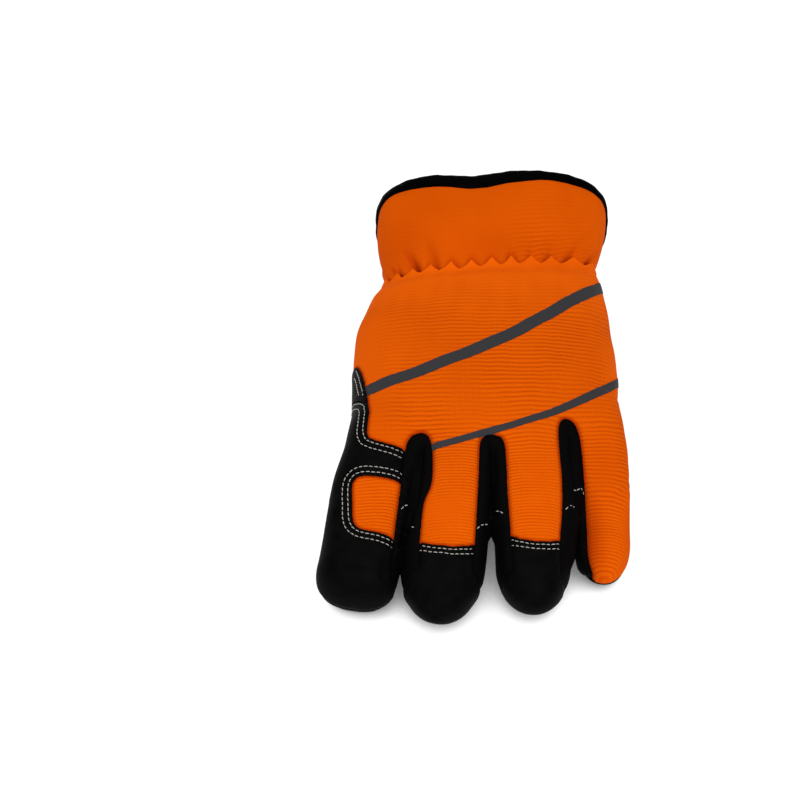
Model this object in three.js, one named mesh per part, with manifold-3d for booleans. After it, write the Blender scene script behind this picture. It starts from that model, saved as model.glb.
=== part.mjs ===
// Left-hand work glove lying palm down: fingers towards -Y, cuff towards +Y, index side at -X.
// Millimetres, +Z up, the surface it lies on at z = 0, the origin under the middle of the glove.

import * as THREE from 'three';
import { mergeVertices } from 'three/addons/utils/BufferGeometryUtils.js';
import Module from 'manifold-3d';

const wasm = await Module();
wasm.setup();

// Driving dimensions
const wall = 2;                  // knit and synthetic leather
const seamGap = 0.3;             // clearance where two sewn pieces meet
const datum = { x: -6.1, y: 3 };  // plan point of the tables that becomes the origin
const rimY = 113;                // edge of the cuff
const gatherY = 66;              // elastic line between the cuff and the hand
const knuckleEndY = -54;         // where the hand ends between the fingers
const pleatCount = 24;           // gathers round the elastic line
const pleatDepth = 0.9;          // in and out
const pleatReach = 9;            // how far the gathers run from the elastic line
const zigzag = 1.3;              // forward and back along the elastic line
const stripeLift = 0.3;
const stripeThickness = 0.6;
const bindingThickness = 1;
const bindingHeight = 4;         // how far the binding reaches back from the rim
const thumbClearance = 0.4;
const floorless = -40;           // a level below everything
const ceiling = 90;              // a level above everything
const farX = 90;                 // a plan distance beyond both sides
const thumbDome = { dome: 13, point: 2 };  // length and exponent of the thumb's rounded end
const domeEnd = 0.6;             // share of a ring's step left between the last ring and the tip
const squareness = 2.4;          // exponent of the finger and thumb sections
const handFlatness = 2.1;        // width over height of the hand, for spacing its points evenly
const fingerFlatness = 1.2;      // the same for a finger
const sideGap = 0.6 * seamGap;   // how far each half keeps from the seam between back and palm
const cuffGap = 1.5 * seamGap;   // how far the cuff keeps from the elastic line
const thumbSeamLevel = 8;        // level of the seam round the thumb

// Hand and cuff sections: plan edges, lowest and highest level, level of the widest line,
// exponent of the section, level the underside is pressed flat on, and sag on the little-finger side.
const handRows = [
  { y: -54, left: -36, right: 34, bottom: 25.5, top: 29.5, side: 27.5, power: 2.2, floor: 0, sag: 0 },
  { y: -51, left: -44, right: 42, bottom: 23.5, top: 34, side: 28, power: 2.3, floor: 0, sag: 0 },
  { y: -45, left: -47.8, right: 47, bottom: 21.5, top: 39, side: 29, power: 2.4, floor: 0, sag: 1 },
  { y: -38, left: -51.6, right: 50.6, bottom: 20.5, top: 42.5, side: 30, power: 2.4, floor: 0, sag: 3 },
  { y: -28, left: -53, right: 50.9, bottom: 20, top: 45.5, side: 30, power: 2.4, floor: 0, sag: 5 },
  { y: -11, left: -53.5, right: 51.3, bottom: 19, top: 47.5, side: 29, power: 2.4, floor: 0, sag: 7 },
  { y: 10, left: -53.8, right: 52.3, bottom: 14, top: 48, side: 27, power: 2.4, floor: 0, sag: 7 },
  { y: 36, left: -52.4, right: 51.5, bottom: 5, top: 46.5, side: 25, power: 2.4, floor: 0, sag: 4 },
  { y: 56, left: -46.8, right: 49, bottom: -1, top: 43.5, side: 24.5, power: 2.3, floor: 0, sag: 0 },
  { y: 66, left: -41.8, right: 46.7, bottom: -3, top: 40.5, side: 25, power: 2.2, floor: 0, sag: 0 },
  { y: 78, left: -42.6, right: 48.8, bottom: -4, top: 44.5, side: 25, power: 2.2, floor: 0, sag: 0 },
  { y: 90, left: -43.8, right: 50.8, bottom: -4, top: 48.2, side: 25, power: 2.4, floor: 0, sag: 0 },
  { y: 102, left: -44.4, right: 52.1, bottom: -3, top: 50.6, side: 25, power: 2.6, floor: 1.2, sag: 0 },
  { y: 113, left: -44, right: 52.4, bottom: -2, top: 52.2, side: 25, power: 2.85, floor: 1.4, sag: 0 },
];

// The elastic pulls the hand and cuff sections towards the rim, most at the sides and below.
const sweep = { fromY: 30, toY: 113, skew: 0.1, lag: 10, lowest: -0.15 };

// The sag below the little-finger side starts this share of the half width past the middle.
const sagSpread = 0.3;

// A dip in the top of the rim, that deepens towards it.
const rimDent = { x: -5, halfWidth: 13, depth: 2.6, fromY: 88, growth: 1.5 };
const rimLean = 1;               // how much higher the little-finger side of the rim stands

// Fingers in plan: root, tip, half widths at root, middle and tip, sideways bow, height factor,
// and the length and exponent of the rounded end.
const fingers = [
  { name: 'index', rootX: -37.6, rootY: -16, tipX: -53.8, tipY: -98.9,
    root: 12.8, middle: 15.6, tip: 15.3, bow: 0.2, height: 1, dome: 13, point: 2.3 },
  { name: 'middle', rootX: -11, rootY: -18, tipX: -22.6, tipY: -108.3,
    root: 14, middle: 15.9, tip: 15.9, bow: 1.4, height: 1, dome: 23, point: 1.7 },
  { name: 'ring', rootX: 17.2, rootY: -18, tipX: 14.9, tipY: -103,
    root: 15, middle: 16.9, tip: 13.8, bow: 0.6, height: 1, dome: 18, point: 1.75 },
  { name: 'little', rootX: 40.6, rootY: -14, tipX: 42.6, tipY: -85.2,
    root: 9, middle: 11.1, tip: 10.5, bow: 1.3, height: 0.82, dome: 16, point: 1.9 },
];

// Side view shared by the fingers: share of the length, level of the centre and half height.
const fingerProfile = [
  { share: 0, z: 31.5, halfHeight: 10 },
  { share: 0.2, z: 32, halfHeight: 11.8 },
  { share: 0.42, z: 27.4, halfHeight: 11.9 },
  { share: 0.6, z: 20.6, halfHeight: 11.9 },
  { share: 0.74, z: 15, halfHeight: 11.9 },
  { share: 0.86, z: 12.3, halfHeight: 12.1 },
  { share: 1, z: 10.8, halfHeight: 12 },
];
const shortFingerDrop = 12;      // how much lower a thinner finger's centre line ends

// The thumb, folded under the palm from its base to its tip.
const thumbRows = [
  { share: 0, x: -27, y: 46, z: 17, halfWidth: 12, halfHeight: 12 },
  { share: 0.25, x: -35.5, y: 24, z: 13.5, halfWidth: 16, halfHeight: 13 },
  { share: 0.5, x: -37.5, y: -2, z: 11, halfWidth: 15, halfHeight: 11.5 },
  { share: 0.78, x: -29, y: -27, z: 9, halfWidth: 13, halfHeight: 9.5 },
  { share: 1, x: -15, y: -43, z: 8, halfWidth: 12, halfHeight: 8.5 },
];

// Black pieces between the fingers, in plan: round head, then straight edges to the far end.
const slots = [
  { name: 'fourchette_index_middle', headX: -27.8, headY: -37.3, endY: -89,
    left: { y: -46, x: -33.4 }, leftEnd: { y: -82, x: -37.6 },
    right: { y: -46, x: -22.6 }, rightEnd: { y: -82, x: -28 } },
  { name: 'fourchette_middle_ring', headX: 0.8, headY: -38.9, endY: -88,
    left: { y: -44, x: -4.1 }, leftEnd: { y: -81, x: -5.8 },
    right: { y: -44, x: 5.3 }, rightEnd: { y: -78, x: 6.5 } },
  { name: 'fourchette_ring_little', headX: 30.2, headY: -30.5, endY: -84,
    left: { y: -37, x: 26.2 }, leftEnd: { y: -79, x: 26.4 },
    right: { y: -37, x: 34.3 }, rightEnd: { y: -79, x: 36.6 } },
];

// Seam outlines in plan, each closed far outside the glove or inside a piece cut before it.
const windowCorners = [[-53.6, -55.6], [-32.5, -58.6], [-34.5, -78.6], [-53, -75.9]];
const windowRadius = 4;
const webOutline = [
  [-52.4, 8], [-50.1, -1], [-48.2, -11], [-47.5, -21], [-54, -10], [-75, -4], [-75, 14],
];
const guardOutline = [
  [-47.5, -21], [-47, -26], [-47.4, -34], [-46.4, -41.5], [-40.8, -44.9], [-29, -45.6],
  [-30, -84], [-34.9, -89], [-36, -118], [-80, -118], [-75, -4], [-54, -10],
];
const middleTipOutline = [
  [-32, -81], [-27.8, -82.2], [-17.2, -84.4], [-5.8, -80.9], [-1.2, -79.5], [-1.2, -118], [-34, -118],
  [-34.7, -89],
];
const ringTipOutline = [
  [0.6, -78.5], [6.6, -78.6], [16.2, -81.2], [26.1, -79.2], [33, -78.5], [33, -118], [0.6, -118],
];

// Level of the seam between the back and the palm along the glove.
const palmSeam = [
  { y: -120, z: 6 }, { y: -106, z: 7 }, { y: -94, z: 8 }, { y: -83, z: 11 }, { y: -71, z: 17 },
  { y: -60, z: 22.5 }, { y: -52, z: 25.5 }, { y: -30, z: 25 }, { y: 20, z: 23 }, { y: 90, z: 22 },
];
const palmSeamLittle = [
  { y: -120, z: 3 }, { y: -84, z: 3.6 }, { y: -74, z: 5.4 }, { y: -66, z: 9 }, { y: -57, z: 15.5 },
  { y: -49, z: 25 }, { y: -34, z: 25.5 }, { y: -16, z: 21 }, { y: 90, z: 20 },
];
const littleSideX = 33;          // plan line between the ring and little fingers

// Reflective stripes: centre line in plan and width.
const stripes = [
  { name: 'stripe_upper', points: [
    { x: -46.6, y: -14.2, width: 5 }, { x: -24.8, y: -5, width: 5.8 }, { x: -0.7, y: 7.4, width: 5.8 },
    { x: 16, y: 20.6, width: 6 }, { x: 31, y: 37, width: 6 }, { x: 42, y: 52, width: 5.8 },
    { x: 57, y: 70, width: 5.4 },
  ] },
  { name: 'stripe_lower', points: [
    { x: -21, y: -45.4, width: 2.8 }, { x: -2, y: -39.3, width: 2.8 }, { x: 15.3, y: -33.8, width: 2.8 },
    { x: 25.2, y: -28.9, width: 3 }, { x: 39.8, y: -17.3, width: 3.2 }, { x: 47.4, y: -7.6, width: 3.2 },
    { x: 58, y: 6, width: 3.2 },
  ] },
];

// How finely the sections are made
const handSides = 2 * pleatCount;
const fingerSides = 16;
const fingerHollowSides = 12;
const fingerRings = 6;
const domeRings = 3;
const domeHollowRings = 2;
const handStations = [knuckleEndY, -50, -42, -32, -12, 12, 36, 52, 60, gatherY];
const cuffStations = [gatherY, 71, 79, 94, rimY];
const cuffHollowStations = [gatherY - wall, 73, 86, 106, rimY + wall];
const arcSteps = 4;

// Surfaces
const knitOrange = new THREE.MeshStandardMaterial({ color: '#e05a02', roughness: 0.95, metalness: 0 });
const leatherBlack = new THREE.MeshStandardMaterial({ color: '#121212', roughness: 0.75, metalness: 0 });
const stretchBlack = new THREE.MeshStandardMaterial({ color: '#0c0c0d', roughness: 0.85, metalness: 0 });
const bindingBlack = new THREE.MeshStandardMaterial({ color: '#0b0c10', roughness: 0.6, metalness: 0 });
const reflectiveGrey = new THREE.MeshStandardMaterial({ color: '#474849', roughness: 0.5, metalness: 0 });

// One value of a table at any place between its rows, on a smooth curve through them.
function tableValue(rows, key, name, at) {
  const last = rows.length - 1;
  const place = Math.min(Math.max(at, rows[0][key]), rows[last][key]);
  let i = 0;
  while (i < last - 1 && rows[i + 1][key] < place) i += 1;
  const span = rows[i + 1][key] - rows[i][key];
  const t = (place - rows[i][key]) / span;
  const slopeAt = (k) => {
    const before = rows[Math.max(k - 1, 0)];
    const after = rows[Math.min(k + 1, last)];
    return (after[name] - before[name]) / (after[key] - before[key]);
  };
  const start = rows[i][name];
  const rise = rows[i + 1][name] - start;
  const lead = slopeAt(i) * span;
  const trail = slopeAt(i + 1) * span;
  return start + lead * t + (3 * rise - 2 * lead - trail) * t ** 2 + (lead + trail - 2 * rise) * t ** 3;
}

function signedPower(value, power) {
  return Math.sign(value) * Math.abs(value) ** power;
}

function clamp01(value) {
  return Math.min(Math.max(value, 0), 1);
}

// Section angles that share a flat ellipse's outline into equal lengths.
function evenAngles(count, flatness) {
  const fine = 720;
  const lengths = [0];
  for (let i = 0; i < fine; i += 1) {
    const angle = ((i + 0.5) / fine) * 2 * Math.PI;
    lengths.push(lengths[i] + Math.hypot(flatness * Math.sin(angle), Math.cos(angle)));
  }
  return Array.from({ length: count }, (_, k) => {
    const wanted = (lengths[fine] * k) / count;
    const i = lengths.findIndex((length) => length >= wanted);
    return (i / fine) * 2 * Math.PI;
  });
}

const handAngles = evenAngles(handSides, handFlatness);
const handHollowAngles = evenAngles(handSides / 2, handFlatness);
const fingerAngles = evenAngles(fingerSides, fingerFlatness);
const fingerHollowAngles = evenAngles(fingerHollowSides, fingerFlatness);

// Share of the elastic's pull at a section.
function sweepShare(y) {
  const towardsHand = (y - sweep.fromY) / (gatherY - sweep.fromY);
  const towardsRim = (sweep.toY - y) / (sweep.toY - gatherY);
  return clamp01(Math.min(towardsHand, towardsRim));
}

// One section of the hand or cuff, `offset` outside the outer surface.
function handRing(y, offset, angles = handAngles) {
  const row = {};
  for (const name of ['left', 'right', 'bottom', 'top', 'side', 'power', 'floor', 'sag']) {
    row[name] = tableValue(handRows, 'y', name, y);
  }
  const pleatShare = Math.exp(-Math.abs(y - gatherY) / pleatReach);
  const dentShare = clamp01((y - rimDent.fromY) / (rimY - rimDent.fromY)) ** rimDent.growth;
  return angles.map((angle, k) => {
    const side = k % 2 === 0 ? 1 : -1;
    const fold = angles === handAngles ? side * pleatShare : 0;
    const grow = offset + fold * pleatDepth;
    const across = signedPower(Math.cos(angle), 2 / row.power);
    const rise = signedPower(Math.sin(angle), 2 / row.power);
    const x = (row.left + row.right) / 2 + ((row.right - row.left) / 2 + grow) * across;
    const lean = rimLean * dentShare * across;
    const height = (rise > 0 ? row.top - row.side + lean : row.side - row.bottom) + grow;
    const fromDent = (x - rimDent.x) / rimDent.halfWidth;
    const dent = rise > 0 ? rimDent.depth * dentShare * Math.exp(-(fromDent ** 2)) : 0;
    const sag = rise < 0 ? row.sag * clamp01(across + sagSpread) * -rise : 0;
    const z = Math.max(row.side + height * rise - dent - sag, row.floor - offset);
    const pull = sweep.skew * x + sweep.lag * (1 - Math.max(Math.sin(angle), sweep.lowest));
    return new THREE.Vector3(x, y + sweepShare(y) * pull + fold * zigzag, z);
  });
}

function fingerRows(finger) {
  const widths = [
    { share: 0, half: finger.root }, { share: 0.45, half: finger.middle },
    { share: 0.85, half: finger.tip }, { share: 1, half: finger.tip },
  ];
  return fingerProfile.map(({ share, z, halfHeight }) => ({
    share,
    x: finger.rootX + (finger.tipX - finger.rootX) * share + finger.bow * 4 * share * (1 - share),
    y: finger.rootY + (finger.tipY - finger.rootY) * share,
    z: z - (1 - finger.height) * shortFingerDrop * share,
    halfWidth: tableValue(widths, 'share', 'half', share),
    halfHeight: halfHeight * finger.height,
  }));
}

// Centre, plan direction and half sizes of a finger or the thumb.
function stallAt(rows, share) {
  const read = (name, at) => tableValue(rows, 'share', name, at);
  const step = 0.02;
  const before = clamp01(share - step);
  const after = clamp01(share + step);
  const runX = read('x', after) - read('x', before);
  const runY = read('y', after) - read('y', before);
  return {
    centre: new THREE.Vector3(read('x', share), read('y', share), read('z', share)),
    direction: new THREE.Vector3(runX, runY, 0).normalize(),
    halfWidth: read('halfWidth', share),
    halfHeight: read('halfHeight', share),
  };
}

// Closed form of a finger or the thumb, `offset` outside its outer surface.
function stallForm(rows, end, offset) {
  const ends = rows[rows.length - 1];
  const length = Math.hypot(ends.x - rows[0].x, ends.y - rows[0].y);
  const dome = end.dome + offset;
  const angles = offset < 0 ? fingerHollowAngles : fingerAngles;
  const straight = length - end.dome;
  const ringAt = (along, shrink) => {
    const { centre, direction, halfWidth, halfHeight } = stallAt(rows, along / length);
    const beyond = Math.max(along - length, 0);
    return angles.map((angle) => {
      const across = signedPower(Math.cos(angle), 2 / squareness) * (halfWidth + offset) * shrink;
      const rise = signedPower(Math.sin(angle), 2 / squareness) * (halfHeight + offset) * shrink;
      const x = centre.x + direction.x * beyond - direction.y * across;
      const y = centre.y + direction.y * beyond + direction.x * across;
      return new THREE.Vector3(x, y, Math.max(centre.z + rise, -offset));
    });
  };
  const rings = [];
  for (let i = 0; i <= fingerRings; i += 1) rings.push(ringAt((straight * i) / fingerRings, 1));
  const steps = offset < 0 ? domeHollowRings : domeRings;
  for (let i = 1; i <= steps; i += 1) {
    const turn = (i / (steps + domeEnd)) * (Math.PI / 2);
    const along = Math.sin(turn) ** (2 / end.point);
    rings.push(ringAt(straight + dome * along, Math.cos(turn) ** (2 / end.point)));
  }
  const tip = stallAt(rows, 1);
  const tipPoint = tip.centre.clone().addScaledVector(tip.direction, offset);
  return loft(rings, tipPoint);
}

// A closed solid through rings of equal point counts; the last end may run to a given point.
function loft(rings, endPoint) {
  const sides = rings[0].length;
  const middleOf = (ring) => {
    const sum = ring.reduce((total, point) => total.add(point), new THREE.Vector3());
    return sum.divideScalar(sides);
  };
  const points = [...rings.flat(), middleOf(rings[0]), endPoint ?? middleOf(rings[rings.length - 1])];
  const first = rings.length * sides;
  const index = [];
  for (let r = 0; r + 1 < rings.length; r += 1) {
    for (let k = 0; k < sides; k += 1) {
      const next = (k + 1) % sides;
      const a = r * sides + k;
      const b = r * sides + next;
      index.push(a, b, a + sides, b, b + sides, a + sides);
    }
  }
  for (let k = 0; k < sides; k += 1) {
    const next = (k + 1) % sides;
    index.push(first, next, k);
    index.push(first + 1, first - sides + k, first - sides + next);
  }
  const geometry = new THREE.BufferGeometry().setFromPoints(points);
  geometry.setIndex(index);
  return toSolid(geometry);
}

// A closed hoop through rings that follow each other round a profile.
function hoop(rings) {
  const sides = rings[0].length;
  const index = [];
  rings.forEach((ring, r) => {
    const start = r * sides;
    const after = ((r + 1) % rings.length) * sides;
    for (let k = 0; k < sides; k += 1) {
      const next = (k + 1) % sides;
      index.push(start + k, start + next, after + k, start + next, after + next, after + k);
    }
  });
  const geometry = new THREE.BufferGeometry().setFromPoints(rings.flat());
  geometry.setIndex(index);
  return toSolid(geometry);
}

// A three.js geometry as a solid that can be cut and joined.
function toSolid(geometry) {
  geometry.deleteAttribute('normal');
  geometry.deleteAttribute('uv');
  const merged = mergeVertices(geometry);
  const vertProperties = new Float32Array(merged.attributes.position.array);
  const triVerts = new Uint32Array(merged.index.array);
  const build = () => new wasm.Manifold(new wasm.Mesh({ numProp: 3, vertProperties, triVerts }));
  const solid = build();
  if (solid.volume() > 0) return solid;
  for (let i = 0; i < triVerts.length; i += 3) {
    [triVerts[i], triVerts[i + 1]] = [triVerts[i + 1], triVerts[i]];
  }
  return build();
}

// The hand or cuff through a list of y stations.
function sleeve(stations, offset, angles) {
  return loft(stations.map((y) => handRing(y, offset, angles)));
}

// Outer form of the hand and fingers, or its hollow where `offset` is the wall inwards.
function bodyForm(offset) {
  const hollowStations = [...handStations.slice(1), gatherY + wall];
  let form = offset < 0 ? sleeve(hollowStations, offset, handHollowAngles) : sleeve(handStations, offset);
  for (const finger of fingers) form = form.add(stallForm(fingerRows(finger), finger, offset));
  return form;
}

// A vertical prism on a plan outline.
function prism(outline) {
  const shape = new THREE.Shape(outline.map(([x, y]) => new THREE.Vector2(x, y)));
  const geometry = new THREE.ExtrudeGeometry(shape, { depth: ceiling - floorless, bevelEnabled: false });
  geometry.translate(0, 0, floorless);
  return toSolid(geometry);
}

// Everything above (or below) a line of levels, between two x values.
function halfSpace(rows, shift, fromX, toX, farLevel) {
  const shape = new THREE.Shape(rows.map(({ y, z }) => new THREE.Vector2(y, z + shift)));
  shape.lineTo(rows[rows.length - 1].y, farLevel);
  shape.lineTo(rows[0].y, farLevel);
  const geometry = new THREE.ExtrudeGeometry(shape, { depth: toX - fromX, bevelEnabled: false });
  geometry.applyMatrix4(new THREE.Matrix4().set(0, 0, 1, fromX, 1, 0, 0, 0, 0, 1, 0, 0, 0, 0, 0, 1));
  return toSolid(geometry);
}

// The space on one side of the seam between the back and the palm.
function seamSide(farLevel) {
  const shift = Math.sign(farLevel) * sideGap;
  const main = halfSpace(palmSeam, shift, -farX, littleSideX, farLevel);
  return main.add(halfSpace(palmSeamLittle, shift, littleSideX, farX, farLevel));
}

// An outline moved outwards by a distance, its edges kept parallel.
function grown(outline, distance) {
  const count = outline.length;
  const sharpest = 0.3;
  let area = 0;
  outline.forEach(([x, y], i) => {
    const [nextX, nextY] = outline[(i + 1) % count];
    area += x * nextY - nextX * y;
  });
  const turn = Math.sign(area);
  const normals = outline.map(([x, y], i) => {
    const [nextX, nextY] = outline[(i + 1) % count];
    return new THREE.Vector2(nextY - y, x - nextX).normalize().multiplyScalar(turn);
  });
  return outline.map(([x, y], i) => {
    const before = normals[(i + count - 1) % count];
    const sum = before.clone().add(normals[i]);
    const reach = distance / Math.max(1 + before.dot(normals[i]), sharpest);
    return [x + sum.x * reach, y + sum.y * reach];
  });
}

// Plan outline of a piece between two fingers.
function slotOutline(slot) {
  const { left, right, leftEnd, rightEnd } = slot;
  const drop = (from, to) => {
    const slope = (to.x - from.x) / (to.y - from.y);
    return [to.x + slope * (slot.endY - to.y), slot.endY];
  };
  const halfWidth = (right.x - left.x) / 2;
  const middle = (right.x + left.x) / 2;
  const headRise = slot.headY - left.y;
  const head = Array.from({ length: arcSteps + 2 }, (_, i) => {
    const angle = (i / (arcSteps + 1)) * Math.PI;
    const shift = (slot.headX - middle) * Math.sin(angle);
    return [middle + shift - halfWidth * Math.cos(angle), left.y + headRise * Math.sin(angle)];
  });
  const ends = [[rightEnd.x, rightEnd.y], drop(right, rightEnd), drop(left, leftEnd), [leftEnd.x, leftEnd.y]];
  return [...head, ...ends];
}

// An outline with its corners rounded.
function rounded(corners, radius) {
  const count = corners.length;
  return corners.flatMap((corner, i) => {
    const at = new THREE.Vector2(...corner);
    const towards = (step) => {
      const neighbour = new THREE.Vector2(...corners[(i + step + count) % count]);
      return neighbour.sub(at).setLength(radius).add(at);
    };
    const curve = new THREE.QuadraticBezierCurve(towards(-1), at, towards(1));
    return curve.getPoints(arcSteps).map((point) => [point.x, point.y]);
  });
}

// Plan outline of a stripe of changing width along its centre line.
function bandOutline(points) {
  const side = (sign) => points.map((point, i) => {
    const before = points[Math.max(i - 1, 0)];
    const after = points[Math.min(i + 1, points.length - 1)];
    const normal = new THREE.Vector2(before.y - after.y, after.x - before.x);
    normal.setLength((sign * point.width) / 2);
    return [point.x + normal.x, point.y + normal.y];
  });
  return [...side(1), ...side(-1).reverse()];
}

const glove = new THREE.Group();
glove.position.set(-datum.x, -datum.y, 0);

function addPiece(name, solid, material) {
  const { numProp, vertProperties, triVerts } = solid.getMesh();
  const geometry = new THREE.BufferGeometry();
  geometry.setAttribute('position', new THREE.BufferAttribute(vertProperties, numProp));
  geometry.setIndex(new THREE.BufferAttribute(triVerts, 1));
  geometry.computeVertexNormals();
  const mesh = new THREE.Mesh(geometry, material);
  mesh.name = name;
  glove.add(mesh);
}

// Takes a piece out of what is left of the back, with a seam's clearance all round.
function cutPanel(rest, outline) {
  return {
    panel: rest.intersect(prism(grown(outline, -seamGap / 2))),
    rest: rest.subtract(prism(grown(outline, seamGap / 2))),
  };
}

// Back and palm halves of the hollow body
const shell = bodyForm(0).subtract(bodyForm(-wall));
const thumbHollow = stallForm(thumbRows, thumbDome, -wall);
const palm = shell.intersect(seamSide(floorless)).subtract(thumbHollow);
let back = shell.intersect(seamSide(ceiling));

const panels = [
  ...slots.map((slot) => ({ name: slot.name, outline: slotOutline(slot), material: stretchBlack })),
  { name: 'middle_tip', outline: middleTipOutline, material: leatherBlack },
  { name: 'ring_tip', outline: ringTipOutline, material: leatherBlack },
  { name: 'index_knit_inset', outline: rounded(windowCorners, windowRadius), material: knitOrange },
  { name: 'thumb_web', outline: webOutline, material: leatherBlack },
  { name: 'index_guard', outline: guardOutline, material: leatherBlack },
];
for (const { name, outline, material } of panels) {
  const { panel, rest } = cutPanel(back, outline);
  addPiece(name, panel, material);
  back = rest;
}
addPiece('back_panel', back, knitOrange);
addPiece('palm', palm, leatherBlack);

// Thumb: its upper half meets the palm, its lower half lies on the surface
const thumbSeam = palmSeam.map(({ y }) => ({ y, z: thumbSeamLevel }));
const thumbOuter = stallForm(thumbRows, thumbDome, 0);
const thumbShell = thumbOuter.subtract(thumbHollow).subtract(bodyForm(thumbClearance));
const aboveThumbSeam = halfSpace(thumbSeam, seamGap / 2, -farX, farX, ceiling);
const belowThumbSeam = halfSpace(thumbSeam, -seamGap / 2, -farX, farX, floorless);
addPiece('thumb_front', thumbShell.intersect(aboveThumbSeam), leatherBlack);
addPiece('thumb_back', thumbShell.intersect(belowThumbSeam), leatherBlack);

// Cuff between the elastic line and the rim
const cuffOuter = loft([
  handRing(gatherY, 0).map((point) => point.setY(point.y + cuffGap)),
  ...cuffStations.slice(1).map((y) => handRing(y, 0)),
]);
addPiece('cuff', cuffOuter.subtract(sleeve(cuffHollowStations, -wall)), knitOrange);

// Binding folded over the rim: a U of cloth carried round the cuff
const outer = seamGap + bindingThickness;
const shoulder = 0.2;            // how far past the rim the fold starts to turn
const bindingProfile = [
  { y: rimY - bindingHeight, offset: seamGap },
  { y: rimY - bindingHeight, offset: outer },
  { y: rimY + shoulder, offset: outer },
  { y: rimY + outer, offset: -wall / 2 },
  { y: rimY + shoulder, offset: -wall - outer },
  { y: rimY - bindingHeight, offset: -wall - outer },
  { y: rimY - bindingHeight, offset: -wall - seamGap },
  { y: rimY + seamGap, offset: -wall - seamGap },
  { y: rimY + seamGap, offset: seamGap },
];
addPiece('cuff_binding', hoop(bindingProfile.map(({ y, offset }) => handRing(y, offset))), bindingBlack);

// Stripes lying on the back
const stripeSkin = bodyForm(stripeLift + stripeThickness).subtract(bodyForm(stripeLift));
const stripeSide = seamSide(ceiling);
for (const { name, points } of stripes) {
  const stripe = stripeSkin.intersect(prism(bandOutline(points))).intersect(stripeSide);
  addPiece(name, stripe, reflectiveGrey);
}

export default glove;
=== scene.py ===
import math

import bpy
import numpy as np
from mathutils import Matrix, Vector
from mathutils.bvhtree import BVHTree
from mathutils.kdtree import KDTree


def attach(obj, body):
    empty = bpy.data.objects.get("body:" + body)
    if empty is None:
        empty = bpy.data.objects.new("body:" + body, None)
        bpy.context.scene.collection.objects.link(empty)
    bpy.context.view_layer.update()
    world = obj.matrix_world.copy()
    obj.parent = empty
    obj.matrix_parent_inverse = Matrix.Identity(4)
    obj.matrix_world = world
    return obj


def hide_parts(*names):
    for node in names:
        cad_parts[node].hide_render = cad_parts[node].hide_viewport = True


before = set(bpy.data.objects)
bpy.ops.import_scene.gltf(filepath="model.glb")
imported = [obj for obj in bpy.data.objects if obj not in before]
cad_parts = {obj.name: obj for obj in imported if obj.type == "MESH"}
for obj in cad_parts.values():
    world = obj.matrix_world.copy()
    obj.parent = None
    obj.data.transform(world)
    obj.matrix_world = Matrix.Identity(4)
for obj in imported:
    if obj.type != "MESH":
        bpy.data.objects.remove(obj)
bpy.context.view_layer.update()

# Left-hand work glove lying palm down: fingers towards -Y, cuff towards +Y, index side at -X.
# Every table and size below is in millimetres, on the glove's own plan; toScene() makes metres of the frame.
datum = np.array([-6.1, 3.0, 0.0])
millimetre = 0.001


def toScene(points):
    return (np.asarray(points) - datum) * millimetre


def table(columns, rows):
    return {name: np.array([row[i] for row in rows], float) for i, name in enumerate(columns.split())}


# The form, one row for each cross section of the hand and cuff.
handRows = table("y left right bottom top side power floor sag", [
    (-54, -36, 34, 25.5, 29.5, 27.5, 2.2, 0, 0),
    (-51, -44, 42, 23.5, 34, 28, 2.3, 0, 0),
    (-45, -47.8, 47, 21.5, 39, 29, 2.4, 0, 1),
    (-38, -51.6, 50.6, 20.5, 42.5, 30, 2.4, 0, 3),
    (-28, -53, 50.9, 20, 45.5, 30, 2.4, 0, 5),
    (-11, -53.5, 51.3, 19, 47.5, 29, 2.4, 0, 7),
    (10, -53.8, 52.3, 14, 48, 27, 2.4, 0, 7),
    (36, -52.4, 51.5, 5, 46.5, 25, 2.4, 0, 4),
    (56, -46.8, 49, -1, 43.5, 24.5, 2.3, 0, 0),
    (66, -41.8, 46.7, -3, 40.5, 25, 2.2, 0, 0),
    (78, -42.6, 48.8, -4, 44.5, 25, 2.2, 0, 0),
    (90, -43.8, 50.8, -4, 48.2, 25, 2.4, 0, 0),
    (102, -44.4, 52.1, -3, 50.6, 25, 2.6, 1.2, 0),
    (113, -44, 52.4, -2, 52.2, 25, 2.85, 1.4, 0),
])
fingerPlan = {
    "index": dict(root=(-37.6, -16), tip=(-53.8, -98.9), halves=(12.8, 15.6, 15.3), bow=0.2, height=1.0,
                  dome=13.0, point=2.3),
    "middle": dict(root=(-11, -18), tip=(-22.6, -108.3), halves=(14, 15.9, 15.9), bow=1.4, height=1.0,
                   dome=23.0, point=1.7),
    "ring": dict(root=(17.2, -18), tip=(14.9, -103), halves=(15, 16.9, 13.8), bow=0.6, height=1.0,
                 dome=18.0, point=1.75),
    "little": dict(root=(40.6, -14), tip=(42.6, -85.2), halves=(9, 11.1, 10.5), bow=1.3, height=0.82,
                   dome=16.0, point=1.9),
}
fingerProfile = table("share z halfHeight", [
    (0, 31.5, 10), (0.2, 32, 11.8), (0.42, 27.4, 11.9), (0.6, 20.6, 11.9),
    (0.74, 15, 11.9), (0.86, 12.3, 12.1), (1, 10.8, 12),
])
thumbRows = table("share x y z halfWidth halfHeight", [
    (0, -27, 46, 17, 12, 12), (0.25, -35.5, 24, 13.5, 16, 13), (0.5, -37.5, -2, 11, 15, 11.5),
    (0.78, -29, -27, 9, 13, 9.5), (1, -15, -43, 8, 12, 8.5),
])
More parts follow.
